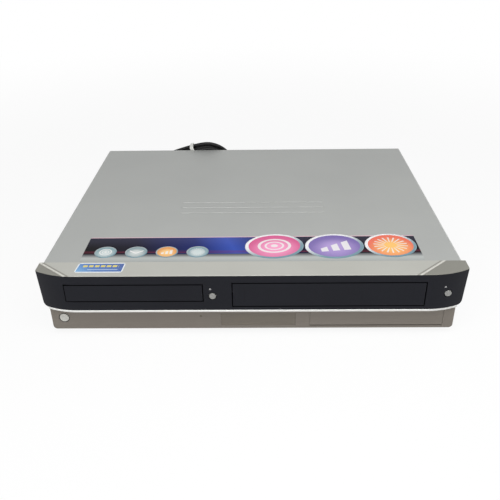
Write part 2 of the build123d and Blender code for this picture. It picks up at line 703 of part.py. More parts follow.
# Silver ledge on top of the bezel, falling gently to its front edge
with BuildPart() as bezel_ledge:
    with BuildSketch(Plane.XY.offset(ledge_low)):
        bowed_plan(TRIM_PROUD, WIDTH / 2, cover_front)
    extrude(amount=cover_flat - ledge_low)
    with BuildSketch(Plane.YZ.offset(-WIDTH / 2)):
        with BuildLine():
            Polyline(
                (cover_front, cover_flat),
                (bezel_face, cover_flat - LEDGE_DROP),
                (bezel_face, HEIGHT),
                (cover_front, HEIGHT),
                close=True,
            )
        make_face()
    extrude(amount=WIDTH, mode=Mode.SUBTRACT)
    ledge_top = bezel_ledge.faces().sort_by(Axis.Z)[-1]
    front_edges = ledge_top.edges().filter_by(lambda e: e.center().Y < bow_y(WIDTH / 2, TRIM_PROUD))
    fillet(front_edges, LEDGE_ROUND)
finish(bezel_ledge, "bezel_ledge")

# Bright trim strip under the dark bezel, running back over the lower panel
trim_half = WIDTH / 2 - END_LEAN - BEZEL_CORNER
with BuildPart() as trim_strip:
    with BuildSketch(Plane.XY.offset(trim_low)):
        bowed_plan(0, trim_half, lower_in)
    extrude(amount=TRIM_HEIGHT)
    trim_front = trim_strip.edges().filter_by(lambda e: e.center().Y < bow_y(trim_half, 0))
    fillet(trim_front.group_by(Axis.Z)[0] + trim_front.group_by(Axis.Z)[-1], TRIM_ROUND)
finish(trim_strip, "trim_strip")

# Silver lower panel: recessed shell with the display window, power button and jack door
boss_places = (
    (power_x + BOSS_STEP, JACK_Z),
    (window_x - WINDOW_WIDTH / 2 - BOSS_STEP, JACK_Z),
    (window_x + WINDOW_WIDTH / 2 + DISPLAY_OVER + BOSS_RADIUS + 2 * FIT, BOARD_LOW + 2 * BOSS_RADIUS),
)
with BuildPart() as lower_panel:
    block((-lower_half, lower_half), (lower_face, cover_front), (FOOT_HEIGHT, trim_low))
    fillet(lower_panel.edges().filter_by(Axis.Y).group_by(Axis.Z)[0], LOWER_CORNER)
    block(
        (-lower_half + LOWER_WALL, lower_half - LOWER_WALL),
        (lower_in, cover_front),
        (FOOT_HEIGHT + LOWER_WALL, trim_low),
        Mode.SUBTRACT,
    )
    block(
        about(window_x, WINDOW_WIDTH / 2),
        (lower_face, lower_in),
        about(WINDOW_Z, WINDOW_HEIGHT / 2),
        Mode.SUBTRACT,
    )
    rod_y(power_x, (lower_face, lower_in), POWER_Z, POWER_RADIUS + BUTTON_GAP, Mode.SUBTRACT)
    block(
        about(hatch_x, HATCH_WIDTH / 2 + HATCH_GAP),
        (lower_face, lower_in),
        (HATCH_LOW - HATCH_GAP, HATCH_LOW + HATCH_HEIGHT + HATCH_GAP),
        Mode.SUBTRACT,
    )
    rod_x(
        about(hatch_x, HATCH_WIDTH / 2 + HATCH_GAP + HATCH_PIN_LENGTH),
        *hatch_axis,
        HATCH_PIN + RUNNING,
        Mode.SUBTRACT,
    )
    for x, z in boss_places:
        rod_y(x, (lower_in, board_face), z, BOSS_RADIUS)
finish(lower_panel, "lower_panel")

# Display window: lens flush with the lower panel, with a flange behind it
with BuildPart() as display_window:
    block(
        about(window_x, WINDOW_WIDTH / 2 - SEAT),
        (lower_face, lower_in),
        about(WINDOW_Z, WINDOW_HEIGHT / 2 - SEAT),
    )
    block(
        about(window_x, WINDOW_WIDTH / 2 + WINDOW_RIM),
        (lower_in, lower_in + WINDOW_DEPTH),
        (FOOT_HEIGHT + LOWER_WALL + FIT, WINDOW_Z + WINDOW_HEIGHT / 2 + WINDOW_RIM),
    )
finish(display_window, "display_window")

# Jack plate behind the jack door, with holes for the jacks, the sockets and two keys
with BuildPart() as jack_plate:
    block(
        about(hatch_x, HATCH_WIDTH / 2 + PLATE_OVER),
        (plate_face, plate_in),
        (FOOT_HEIGHT + LOWER_WALL, trim_low - FIT),
    )
    for x in front_jack_xs:
        rod_y(x, (plate_face, plate_in), JACK_Z, JACK_RADIUS + FIT, Mode.SUBTRACT)
    for x, half_x, half_z in (
        (usb_x, USB_WIDTH / 2 + USB_WALL, USB_HEIGHT / 2 + USB_WALL),
        (card_x, CARD_WIDTH / 2 + USB_WALL, CARD_HEIGHT / 2 + USB_WALL),
        (record_x, KEY_WIDTH / 2, KEY_HEIGHT / 2),
        (stop_x, KEY_WIDTH / 2, KEY_HEIGHT / 2),
    ):
        block(about(x, half_x + FIT), (plate_face, plate_in), about(JACK_Z, half_z + FIT), Mode.SUBTRACT)
finish(jack_plate, "jack_plate")

# Jack door: flips down about pins at its rounded lower edge
hatch_face = lower_face + SEAT
with BuildPart() as jack_door:
    block(
        about(hatch_x, HATCH_WIDTH / 2),
        (hatch_face, hatch_face + HATCH_THICK),
        (hatch_axis[1], HATCH_LOW + HATCH_HEIGHT),
    )
    rod_x(about(hatch_x, HATCH_WIDTH / 2), *hatch_axis, HATCH_THICK / 2)
    rod_x(about(hatch_x, HATCH_WIDTH / 2 + HATCH_PIN_LENGTH), *hatch_axis, HATCH_PIN)
finish(jack_door, "jack_door")

# Cassette door: hangs from pins above its top edge and swings inwards
door_top = DOOR_Z + DOOR_HEIGHT / 2
with BuildPart() as cassette_door:
    block(about(tape_x, DOOR_WIDTH / 2), (bezel_face, bezel_face + PANEL_DOOR), about(DOOR_Z, DOOR_HEIGHT / 2))
    for side in (-1, 1):
        outer = tape_x + side * DOOR_WIDTH / 2
        lug = sorted((outer, outer - side * LUG_WIDTH))
        block(lug, (bezel_face + PANEL_DOOR, door_axis[0] + DOOR_LUG), (door_top - LUG_FOOT, door_top - DOOR_LUG))
        block(lug, about(door_axis[0], DOOR_LUG), (door_top - LUG_FOOT, door_axis[1]))
        rod_x(lug, *door_axis, DOOR_LUG)
        rod_x(sorted((outer, outer + side * EAR_WIDTH)), *door_axis, DOOR_PIN)
finish(cassette_door, "cassette_door")


def push_button(x, z, radius, face, flange_face, switch_face):
    """A round button: cap, flange behind the panel and stem towards its switch."""
    rod_y(x, (face - BUTTON_PROUD, flange_face), z, radius)
    rod_y(x, (flange_face, flange_face + FLANGE_THICK), z, radius + BUTTON_GAP + BUTTON_FLANGE)
    rod_y(x, (flange_face, switch_face - TRAVEL - FIT), z, STEM_RADIUS)


switch_face = board_face - SWITCH_HEIGHT
small_flange = SMALL_RADIUS + BUTTON_GAP + BUTTON_FLANGE
with BuildPart() as power_button:
    push_button(power_x, POWER_Z, POWER_RADIUS, lower_face, lower_in + FIT, switch_face)
    fillet(power_button.edges().group_by(Axis.Y)[0], BUTTON_PROUD)
finish(power_button, "power_button")

with BuildPart() as open_button:
    push_button(open_x, OPEN_Z, SMALL_RADIUS, bow_y(open_x, TRIM_PROUD), bezel_in + FIT, switch_face)
    fillet(open_button.edges().group_by(Axis.Y)[0], BUTTON_PROUD)
finish(open_button, "open_button")

eject_behind = bow_y(eject_x + small_flange, TRIM_PROUD + BEZEL_WALL) + FIT
with BuildPart() as eject_button:
    push_button(eject_x, EJECT_Z, SMALL_RADIUS, bow_y(eject_x, TRIM_PROUD), eject_behind, switch_face)
    fillet(eject_button.edges().group_by(Axis.Y)[0], BUTTON_PROUD)
finish(eject_button, "eject_button")


def flat_key(x):
    """A rectangular key in the jack plate: cap with a flange behind the plate."""
    flange_face = plate_in + FIT
    block(about(x, KEY_WIDTH / 2), (plate_face - KEY_PROUD, flange_face), about(JACK_Z, KEY_HEIGHT / 2))
    block(
        about(x, KEY_WIDTH / 2 + BUTTON_FLANGE),
        (flange_face, board_face - KEY_SWITCH_HEIGHT - TRAVEL - FIT),
        about(JACK_Z, KEY_HEIGHT / 2 + BUTTON_FLANGE),
    )


with BuildPart() as record_button:
    flat_key(record_x)
finish(record_button, "record_button")

with BuildPart() as stop_button:
    flat_key(stop_x)
finish(stop_button, "stop_button")

# Front board: strip with two tabs, its switches and the display module
with BuildPart() as front_board:
    board_y = (board_face, board_face + BOARD)
    block((-lower_half + BOARD_INSET, lower_half - BOARD_INSET), board_y, (BOARD_LOW, BOARD_TOP))
    for x, z in ((open_x, OPEN_Z), (eject_x, EJECT_Z)):
        block(about(x, TAB_HALF), board_y, (BOARD_LOW, z + TAB_OVER))
        block(about(x, SWITCH_HALF), (switch_face, board_face), about(z, SWITCH_HALF))
    block(about(power_x, SWITCH_HALF), (switch_face, board_face), about(POWER_Z, SWITCH_HALF))
    for x in (record_x, stop_x):
        block(about(x, SWITCH_HALF), (board_face - KEY_SWITCH_HEIGHT, board_face), about(JACK_Z, SWITCH_HALF))
    block(
        about(window_x, WINDOW_WIDTH / 2 + DISPLAY_OVER),
        (lower_in + WINDOW_DEPTH + DISPLAY_GAP, board_face),
        (BOARD_LOW, BOARD_TOP - SWITCH_HALF),
    )
finish(front_board, "front_board")

# Front jacks: three barrels on the front board
with BuildPart() as front_jacks:
    for x in front_jack_xs:
        tip = hatch_face + HATCH_THICK + 2 * FIT
        rod_y(x, (tip, board_face), JACK_Z, JACK_RADIUS)
        rod_y(x, (tip, tip + JACK_BORE_DEPTH), JACK_Z, JACK_BORE, Mode.SUBTRACT)
finish(front_jacks, "front_jacks")

# Usb and card sockets: two open shells on the front board
with BuildPart() as front_sockets:
    for x, width, height in ((usb_x, USB_WIDTH, USB_HEIGHT), (card_x, CARD_WIDTH, CARD_HEIGHT)):
        shell = (plate_face - USB_PROUD, board_face)
        block(about(x, width / 2 + USB_WALL), shell, about(JACK_Z, height / 2 + USB_WALL))
        block(
            about(x, width / 2),
            (shell[0], shell[1] - USB_WALL),
            about(JACK_Z, height / 2),
            Mode.SUBTRACT,
        )
finish(front_sockets, "front_sockets")

# Disc drive frame: floor, walls, tray rails and four legs on the base pan
drive_front = bow_y(disc_x - DRIVE_HALF, TRIM_PROUD + BEZEL_WALL) + DRIVE_GAP
motor_y = gear_y + PULLEY_SPAN
wall_in = DRIVE_HALF - DRIVE_WALL
with BuildPart() as drive_frame:
    block(about(disc_x, DRIVE_HALF), (drive_front, drive_rear), (drive_low, drive_floor))
    block(about(disc_x, DRIVE_HALF), (drive_rear - DRIVE_WALL, drive_rear), (drive_floor, DRIVE_TOP))
    for side in (-1, 1):
        wall = sorted((disc_x + side * DRIVE_HALF, disc_x + side * wall_in))
        block(wall, (drive_front, drive_rear), (drive_floor, DRIVE_TOP))
        rail = sorted((disc_x + side * wall_in, disc_x + side * (wall_in - RAIL_WIDTH)))
        block(rail, (drive_front, drive_rear), (tray_low - FIT - RAIL_HEIGHT, tray_low - FIT))
        for y in (leg_front, leg_rear):
            post(disc_x + side * (DRIVE_HALF - LEG_INSET), y, (pan_top, drive_low), DRIVE_LEG)
    post(gear_x, gear_y, (drive_floor, tray_low - FIT), GEAR_PIN)
    post(gear_x, motor_y, (drive_low, drive_floor), MOTOR_SHAFT + FIT, Mode.SUBTRACT)
finish(drive_frame, "drive_frame")


def rack_outline():
    """Fills the open sketch with a rack whose space faces the drive gear's middle tooth."""
    pitch = pi * GEAR_MODULE
    line = disc_x + RACK_LINE
    slope = tan(radians(GEAR_PRESSURE))
    half_tooth = pitch / 4 - GEAR_BACKLASH / 4
    tip, root = line - GEAR_MODULE, line + GEAR_ROOT
    first = -int(RACK_LEAD / pitch)
    last = int((TRAY_STROKE + RACK_SPARE) / pitch)
    points = []
    for i in range(first, last):
        middle = gear_y + (i + 0.5) * pitch
        at_root = half_tooth + GEAR_ROOT * slope
        at_tip = half_tooth - GEAR_MODULE * slope
        points += [(root, middle - at_root), (tip, middle - at_tip), (tip, middle + at_tip), (root, middle + at_root)]
    back = line + RACK_BACK
    with BuildLine() as outline:
        Polyline(*points, (back, points[-1][1]), (back, points[0][1]), close=True)
    make_face(outline.edges())


wing_front = bow_y(disc_x - TRAY_WING, TRIM_PROUD + BEZEL_WALL) + FIT
# Disc tray: well for the disc, slot for the turntable, sliding edges and a rack underneath
with BuildPart() as disc_tray:
    block(about(disc_x, TRAY_HALF), (bezel_face + PANEL_DOOR, tray_rear), (tray_low, tray_top))
    block(about(disc_x, TRAY_WING), (wing_front, tray_rear), (tray_low, tray_low + WING_THICK))
    post(disc_x, disc_y, (DISC_FLOOR, tray_top), DISC_WELL, Mode.SUBTRACT)
    post(disc_x, disc_y, (SMALL_FLOOR, tray_top), SMALL_WELL, Mode.SUBTRACT)
    post(disc_x, disc_y, (tray_low, tray_top), TRAY_SLOT, Mode.SUBTRACT)
    block(about(disc_x, TRAY_SLOT), (disc_y, tray_rear), (tray_low, tray_top), Mode.SUBTRACT)
    with BuildSketch(Plane.XY.offset(tray_low)):
        rack_outline()
    extrude(amount=rack_low - tray_low)
finish(disc_tray, "disc_tray")

# Tray fascia: the door panel on the front of the tray
with BuildPart() as tray_fascia:
    block(about(disc_x, FASCIA_WIDTH / 2), (bezel_face, bezel_face + PANEL_DOOR), about(FASCIA_Z, FASCIA_HEIGHT / 2))
finish(tray_fascia, "tray_fascia")


def gear_outline():
    """Fills the open sketch with an involute gear that has a tooth on +X."""
    pressure = radians(GEAR_PRESSURE)
    base = gear_radius * cos(pressure)
    tip, root = gear_radius + GEAR_MODULE, gear_radius - GEAR_ROOT
    tooth = pi * GEAR_MODULE / 2 - GEAR_BACKLASH / 2
    inv = tan(pressure) - pressure

    def half_angle(radius):
        wrap = sqrt(max(0.0, (radius / base) ** 2 - 1))
        return tooth / 2 / gear_radius + inv - (wrap - atan(wrap))

    flank = [root, base] + [base + (tip - base) * i / 3 for i in (1, 2, 3)]
    points = []
    for i in range(GEAR_TEETH):
        turn = 2 * pi * i / GEAR_TEETH
        rising = [(r, turn - half_angle(max(r, base))) for r in flank]
        falling = [(r, turn + half_angle(max(r, base))) for r in reversed(flank)]
        points += [(gear_x + r * cos(a), gear_y + r * sin(a)) for r, a in rising + falling]
    with BuildLine() as outline:
        Polyline(*points, close=True)
    make_face(outline.edges())


def pulley(x, y, low, radius):
    """A grooved belt pulley: core between two rims."""
    post(x, y, (low, low + PULLEY_HEIGHT), radius)
    post(x, y, (low, low + RIM_THICK), radius + PULLEY_RIM)
    post(x, y, (low + PULLEY_HEIGHT - RIM_THICK, low + PULLEY_HEIGHT), radius + PULLEY_RIM)


# Drive gear: pinion in mesh with the tray's rack, on a belt pulley
pulley_low = drive_floor + FIT
with BuildPart() as drive_gear:
    pulley(gear_x, gear_y, pulley_low, PULLEY_RADIUS)
    with BuildSketch(Plane.XY.offset(pulley_low + PULLEY_HEIGHT)):
        gear_outline()
    extrude(amount=tray_low - FIT - pulley_low - PULLEY_HEIGHT)
    post(gear_x, gear_y, (drive_floor, tray_low), GEAR_PIN + RUNNING, Mode.SUBTRACT)
finish(drive_gear, "drive_gear")

# Motor pulley on its shaft, driven by the tray motor
with BuildPart() as motor_pulley:
    pulley(gear_x, motor_y, pulley_low, MOTOR_PULLEY_RADIUS)
    post(gear_x, motor_y, (drive_low - MOTOR_LENGTH / 2, pulley_low), MOTOR_SHAFT)
finish(motor_pulley, "motor_pulley")

# Tray motor under the drive's floor
with BuildPart() as tray_motor:
    post(gear_x, motor_y, (drive_low - MOTOR_LENGTH, drive_low), MOTOR_RADIUS)
    post(gear_x, motor_y, (drive_low - MOTOR_LENGTH / 2 - FIT, drive_low), MOTOR_SHAFT + RUNNING, Mode.SUBTRACT)
finish(tray_motor, "tray_motor")

# Drive belt: flat loop round the two pulleys
belt_low = pulley_low + (PULLEY_HEIGHT - BELT_HEIGHT) / 2
with BuildPart() as drive_belt:
    for thick, mode in ((BELT_GAP + BELT_THICK, Mode.ADD), (BELT_GAP, Mode.SUBTRACT)):
        with BuildSketch(Plane.XY.offset(belt_low)):
            with BuildLine() as rounds:
                CenterArc((gear_x, gear_y), PULLEY_RADIUS + thick, 0, 360)
                CenterArc((gear_x, motor_y), MOTOR_PULLEY_RADIUS + thick, 0, 360)
            make_hull(rounds.edges())
        extrude(amount=BELT_HEIGHT, mode=mode)
finish(drive_belt, "drive_belt")

# Traverse plate on four pads, with blocks for the guide rods and the lead screw
rod_xs = (disc_x - ROD_OFFSET, disc_x + ROD_OFFSET)
lead_x = disc_x + SCREW_OFFSET
with BuildPart() as traverse_plate:
    block(about(disc_x, TRAVERSE_HALF), (traverse_front, traverse_rear), (traverse_low, traverse_top))
    for x in about(disc_x, TRAVERSE_HALF - TRAVERSE_PAD):
        for y in (traverse_front + TRAVERSE_PAD, traverse_rear - TRAVERSE_PAD):
            post(x, y, (drive_floor, traverse_low), TRAVERSE_PAD)
    for y in ((rod_front - ROD_BLOCK, rod_front), (rod_rear, rod_rear + ROD_BLOCK)):
        for x, radius in ((rod_xs[0], ROD_RADIUS + SEAT), (rod_xs[1], ROD_RADIUS + SEAT)):
            block(about(x, ROD_RISE), y, (traverse_top, rod_z + ROD_RADIUS + ROD_CAP))
            rod_y(x, y, rod_z, radius, Mode.SUBTRACT)
        block(about(lead_x, ROD_RISE), y, (traverse_top, rod_z + LEAD_RADIUS + ROD_CAP))
        rod_y(lead_x, y, rod_z, LEAD_RADIUS + RUNNING, Mode.SUBTRACT)
finish(traverse_plate, "traverse_plate")

# Guide rods for the pickup sled
with BuildPart() as guide_rods:
    for x in rod_xs:
        rod_y(x, (rod_front - ROD_BLOCK, rod_rear + ROD_BLOCK), rod_z, ROD_RADIUS)
finish(guide_rods, "guide_rods")

# Lead screw that moves the sled
with BuildPart() as lead_screw:
    rod_y(lead_x, (rod_front - ROD_BLOCK, rod_rear + ROD_BLOCK), rod_z, LEAD_RADIUS)
    rod_y(lead_x, (rod_rear + ROD_BLOCK + FIT, rod_rear + 2 * ROD_BLOCK), rod_z, LEAD_KNOB)
    rod_y(lead_x, (rod_rear + ROD_BLOCK, rod_rear + ROD_BLOCK + FIT), rod_z, LEAD_RADIUS)
finish(lead_screw, "lead_screw")

# Pickup sled: block on the rods, nut on the lead screw, lens on top
sled_y = (sled_front, sled_front + SLED_LENGTH)
sled_z = (traverse_top + SLED_LOW, traverse_top + SLED_LOW + SLED_HEIGHT)
with BuildPart() as pickup_sled:
    block(about(disc_x, SLED_HALF), sled_y, sled_z)
    for x in rod_xs:
        block(about(x, ROD_OFFSET - SLED_HALF), sled_y, sled_z)
        rod_y(x, sled_y, rod_z, ROD_RADIUS + RUNNING, Mode.SUBTRACT)
    block((rod_xs[1], lead_x + ROD_RISE), about(sum(sled_y) / 2, ROD_BLOCK), sled_z)
    rod_y(lead_x, sled_y, rod_z, LEAD_RADIUS + FIT, Mode.SUBTRACT)
    rod_y(rod_xs[1], sled_y, rod_z, ROD_RADIUS + RUNNING, Mode.SUBTRACT)
    post(disc_x, sled_front + LENS_BACK, (sled_z[1], sled_z[1] + LENS_HEIGHT), LENS_RADIUS)
finish(pickup_sled, "pickup_sled")

# Spindle motor on the traverse, with its fixed shaft
with BuildPart() as spindle_motor:
    post(disc_x, disc_y, (traverse_top, traverse_top + SPINDLE_HEIGHT), SPINDLE_RADIUS)
    post(disc_x, disc_y, (traverse_top, TURNTABLE_TOP - FIT), SPINDLE_SHAFT)
finish(spindle_motor, "spindle_motor")

# Turntable with its centring hub
with BuildPart() as turntable:
    post(disc_x, disc_y, (traverse_top + SPINDLE_HEIGHT + FIT, TURNTABLE_TOP), TURNTABLE_RADIUS)
    post(disc_x, disc_y, (TURNTABLE_TOP, HUB_TOP), HUB_RADIUS)
    chamfer(turntable.edges().group_by(Axis.Z)[-1], TURNTABLE_BEVEL)
    post(disc_x, disc_y, (traverse_top, TURNTABLE_TOP), SPINDLE_SHAFT + RUNNING, Mode.SUBTRACT)
finish(turntable, "turntable")

# Clamp bridge across the drive's walls
clamp_hole = CLAMP_NECK + CLAMP_HOLE_GAP
bridge_top = DRIVE_TOP + BRIDGE_THICK
with BuildPart() as clamp_bridge:
    block(about(disc_x, DRIVE_HALF), about(disc_y, BRIDGE_HALF), (DRIVE_TOP, bridge_top))
    post(disc_x, disc_y, (DRIVE_TOP, bridge_top), clamp_hole, Mode.SUBTRACT)
finish(clamp_bridge, "clamp_bridge")

# Clamper: plate under the bridge, neck through it and a cap that hangs on it
with BuildPart() as clamper:
    post(disc_x, disc_y, (DRIVE_TOP - CLAMP_HANG, DRIVE_TOP - CLAMP_HANG + CLAMP_PLATE), CLAMP_RADIUS)
    post(disc_x, disc_y, (DRIVE_TOP - CLAMP_HANG, bridge_top + FIT), CLAMP_NECK)
    post(disc_x, disc_y, (bridge_top + FIT, bridge_top + FIT + CLAMP_CAP), CLAMP_RADIUS)
finish(clamper, "clamper")

# Cassette deck plate on posts, with the fixed pins of the reels and the pinch arm
with BuildPart() as deck_plate:
    block(about(tape_x, DECK_HALF), (deck_front, deck_rear), (DECK_LOW, deck_top))
    for x in about(tape_x, DECK_HALF - DECK_POST_INSET):
        for y in (deck_front + DECK_POST_INSET, deck_rear - DECK_POST_INSET):
            post(x, y, (pan_top, DECK_LOW), DECK_POST)
    for side in (-1, 1):
        post(tape_x + side * REEL_OFFSET, reel_y, (deck_top, REEL_TOP - REEL_PLATE), REEL_PIN)
    post(pivot_x, pivot_y, (deck_top, deck_top + 2 * PINCH_ARM_THICK), PIVOT_RADIUS)
    post(capstan_x, capstan_y, (DECK_LOW, deck_top), CAPSTAN_RADIUS + RUNNING, Mode.SUBTRACT)
finish(deck_plate, "deck_plate")

# Cassette housing: two side plates with slots, tied by two bars over the carriage
slider_top = carriage_top + FIT + SLIDER_BAR
bar_low = slider_top + FIT
pin_ys = (pin_front, pin_front + PIN_PITCH)
slot_half = GUIDE_PIN + GUIDE_GAP
with BuildPart() as cassette_housing:
    for side in (-1, 1):
        wall = sorted((tape_x + side * housing_half, tape_x + side * (housing_half - HOUSING_WALL)))
        block(wall, (housing_front, housing_rear), (deck_top, bar_low + HOUSING_BAR))
        block(
            wall,
            (pin_ys[0] - slot_half, pin_ys[1] + CARRIAGE_STROKE + slot_half),
            about(SLIDER_PIN_Z, slot_half),
            Mode.SUBTRACT,
        )
    for y in (housing_front + HOUSING_BAR_WIDTH, housing_rear):
        block(about(tape_x, housing_half), (y - HOUSING_BAR_WIDTH, y), (bar_low, bar_low + HOUSING_BAR))
finish(cassette_housing, "cassette_housing")

# Cassette slider: side plates with upright slots, tied by a bar, on pins in the housing's slots
slider_y = (slider_front, slider_front + SLIDER_LENGTH)
with BuildPart() as cassette_slider:
    block(about(tape_x, slider_half), slider_y, (slider_top - SLIDER_BAR, slider_top))
    for side in (-1, 1):
        wall = sorted((tape_x + side * slider_half, tape_x + side * (slider_half - SLIDER_WALL)))
        block(wall, slider_y, (SLIDER_LOW, slider_top))
        for y in pin_ys:
            block(
                wall,
                about(y, slot_half),
                (CARRIAGE_PIN_Z - CARRIAGE_DROP - slot_half, CARRIAGE_PIN_Z + slot_half),
                Mode.SUBTRACT,
            )
            pin = sorted((tape_x + side * slider_half, tape_x + side * housing_half))
            rod_x(pin, y, SLIDER_PIN_Z, GUIDE_PIN)
finish(cassette_slider, "cassette_slider")

# Cassette carriage: open-bottomed cage that holds the cassette by its edges
carriage_y = (carriage_front, carriage_front + CARRIAGE_LENGTH)
with BuildPart() as cassette_carriage:
    for side in (-1, 1):
        edge = tape_x + side * carriage_half
        wall = sorted((edge, edge - side * CARRIAGE_WALL))
        block(wall, carriage_y, (CARRIAGE_LOW, carriage_top))
        ledge = sorted((edge, edge - side * CARRIAGE_LEDGE))
        block(ledge, carriage_y, (CARRIAGE_LOW, CARRIAGE_LOW + CARRIAGE_WALL))
        lip = sorted((edge, edge - side * CARRIAGE_LIP))
        block(lip, carriage_y, (carriage_top - CARRIAGE_WALL, carriage_top))
        stop_y = (carriage_y[1] - CARRIAGE_WALL, carriage_y[1])
        block(ledge, stop_y, (CARRIAGE_LOW, CARRIAGE_LOW + CARRIAGE_STOP))
        for y in pin_ys:
            rod_x(sorted((edge, edge + side * (FIT + SLIDER_WALL))), y, CARRIAGE_PIN_Z, GUIDE_PIN)
    bridge_y = (carriage_y[1] - HOUSING_BAR_WIDTH, carriage_y[1])
    block(about(tape_x, carriage_half), bridge_y, (carriage_top - CARRIAGE_WALL, carriage_top))
finish(cassette_carriage, "cassette_carriage")

# Drum: fixed lower half with its shaft, spinning upper half
with BuildPart() as drum_base:
    post(drum_x, drum_y, (deck_top, DRUM_SPLIT), DRUM_RADIUS)
    post(drum_x, drum_y, (deck_top, DRUM_TOP), DRUM_SHAFT)
finish(drum_base, "drum_base")

with BuildPart() as drum_rotor:
    post(drum_x, drum_y, (DRUM_SPLIT + FIT, DRUM_TOP), DRUM_RADIUS)
    post(drum_x, drum_y, (DRUM_TOP, DRUM_TOP + DRUM_CAP), DRUM_CAP_RADIUS)
    post(drum_x, drum_y, (DRUM_SPLIT, DRUM_TOP + FIT), DRUM_SHAFT + RUNNING, Mode.SUBTRACT)
finish(drum_rotor, "drum_rotor")


def reel_table(x):
    """A reel table: brake plate, hub and a nose with three drive fins."""
    post(x, reel_y, (deck_top + FIT, deck_top + FIT + REEL_PLATE), REEL_RADIUS)
    post(x, reel_y, (deck_top + FIT, REEL_HUB_TOP), REEL_HUB)
    post(x, reel_y, (deck_top + FIT, REEL_TOP), REEL_NOSE)
    with Locations((x, reel_y, REEL_HUB_TOP)):
        with PolarLocations(REEL_NOSE, 3):
            Box(2 * REEL_FIN, REEL_FIN, REEL_TOP - REEL_HUB_TOP, align=(Align.CENTER, Align.CENTER, Align.MIN))
    post(x, reel_y, (deck_top, REEL_TOP - REEL_PLATE + FIT), REEL_PIN + RUNNING, Mode.SUBTRACT)


with BuildPart() as supply_reel:
    reel_table(tape_x - REEL_OFFSET)
finish(supply_reel, "supply_reel")

with BuildPart() as takeup_reel:
    reel_table(tape_x + REEL_OFFSET)
finish(takeup_reel, "takeup_reel")

# Capstan: shaft through the deck with a flywheel under it
with BuildPart() as capstan:
    post(capstan_x, capstan_y, (pan_top + FLYWHEEL_GAP, DECK_LOW - FIT), FLYWHEEL_RADIUS)
    post(capstan_x, capstan_y, (pan_top + FLYWHEEL_GAP, CAPSTAN_TOP), CAPSTAN_RADIUS)
finish(capstan, "capstan")

# Pinch arm on its pivot, with the pin of the pinch roller
roller_x = pivot_x + PINCH_ARM * cos(radians(PINCH_ANGLE))
roller_y = pivot_y + PINCH_ARM * sin(radians(PINCH_ANGLE))
arm_low = deck_top + FIT
roller_low = arm_low + PINCH_ARM_THICK + FIT
with BuildPart() as pinch_arm:
    with BuildSketch(Plane.XY.offset(arm_low)):
        with BuildLine() as arm_rounds:
            CenterArc((pivot_x, pivot_y), PINCH_BOSS, 0, 360)
            CenterArc((roller_x, roller_y), PINCH_BOSS, 0, 360)
        make_hull(arm_rounds.edges())
    extrude(amount=PINCH_ARM_THICK)
    post(roller_x, roller_y, (arm_low, roller_low + PINCH_HEIGHT), PINCH_PIN)
    post(pivot_x, pivot_y, (deck_top, roller_low), PIVOT_RADIUS + RUNNING, Mode.SUBTRACT)
finish(pinch_arm, "pinch_arm")

with BuildPart() as pinch_roller:
    post(roller_x, roller_y, (roller_low, roller_low + PINCH_HEIGHT), PINCH_RADIUS)
    post(roller_x, roller_y, (roller_low, roller_low + PINCH_HEIGHT), PINCH_PIN + RUNNING, Mode.SUBTRACT)
finish(pinch_roller, "pinch_roller")

# Main board with its chips and a finned heat sink
main_mid = (sum(main_x) / 2, sum(main_y) / 2)
with BuildPart() as main_board:
    block(main_x, main_y, (board_low, board_top))
    for step in (-2, 0, 2):
        block(
            about(main_mid[0], CHIP_HALF),
            about(main_mid[1] + step * 2 * CHIP_HALF, CHIP_HALF),
            (board_top, board_top + CHIP_HEIGHT),
        )
    with Locations((*main_mid, board_top + CHIP_HEIGHT)):
        with GridLocations(CHIP_HALF / 3, CHIP_HALF, SINK_FINS, 1):
            Box(SINK_FIN, 2 * CHIP_HALF, SINK_HEIGHT, align=(Align.CENTER, Align.CENTER, Align.MIN))
finish(main_board, "main_board")

# Power board with transformer, capacitors and heat plate
power_mid = (sum(power_board_x) / 2, sum(power_board_y) / 2)
with BuildPart() as power_board:
    block(power_board_x, power_board_y, (board_low, board_top))
    with Locations((*power_mid, board_top)):
        Box(*TRANSFORMER, align=(Align.CENTER, Align.CENTER, Align.MIN))
    capacitor_x = power_mid[0] - TRANSFORMER[0] - CAPACITOR_RADIUS
    for side in (-1, 1):
        capacitor_y = power_mid[1] + side * CAPACITOR_SPREAD
        post(capacitor_x, capacitor_y, (board_top, board_top + CAPACITOR_HEIGHT), CAPACITOR_RADIUS)
    with Locations((power_mid[0], power_board_y[0] + TRANSFORMER[1] / 2, board_top)):
        Box(*HEAT_PLATE, align=(Align.CENTER, Align.CENTER, Align.MIN))
finish(power_board, "power_board")

# Jack board with the moulded block behind the rear jacks
block_half = (REAR_JACK_COLUMNS - 1) / 2 * REAR_JACK_PITCH + BLOCK_MARGIN
with BuildPart() as jack_board:
    block(jack_board_x, (jack_board_front, panel_in), (board_low, board_top))
    block(
        about(rear_jack_x, block_half),
        (panel_in - JACK_BLOCK, panel_in),
        (board_top, REAR_JACK_Z + (REAR_JACK_ROWS - 1) * REAR_JACK_PITCH + BLOCK_MARGIN),
    )
finish(jack_board, "jack_board")

# Rear jacks: barrels through the rear panel
with BuildPart() as rear_jacks:
    for x, z in rear_jack_places:
        rod_y(x, (panel_in, panel_y), z, JACK_RADIUS - NECK_STEP)
        rod_y(x, (panel_y, panel_y + JACK_REACH), z, JACK_RADIUS)
        rod_y(x, (panel_y + JACK_REACH - JACK_BORE_DEPTH, panel_y + JACK_REACH), z, JACK_BORE, Mode.SUBTRACT)
finish(rear_jacks, "rear_jacks")

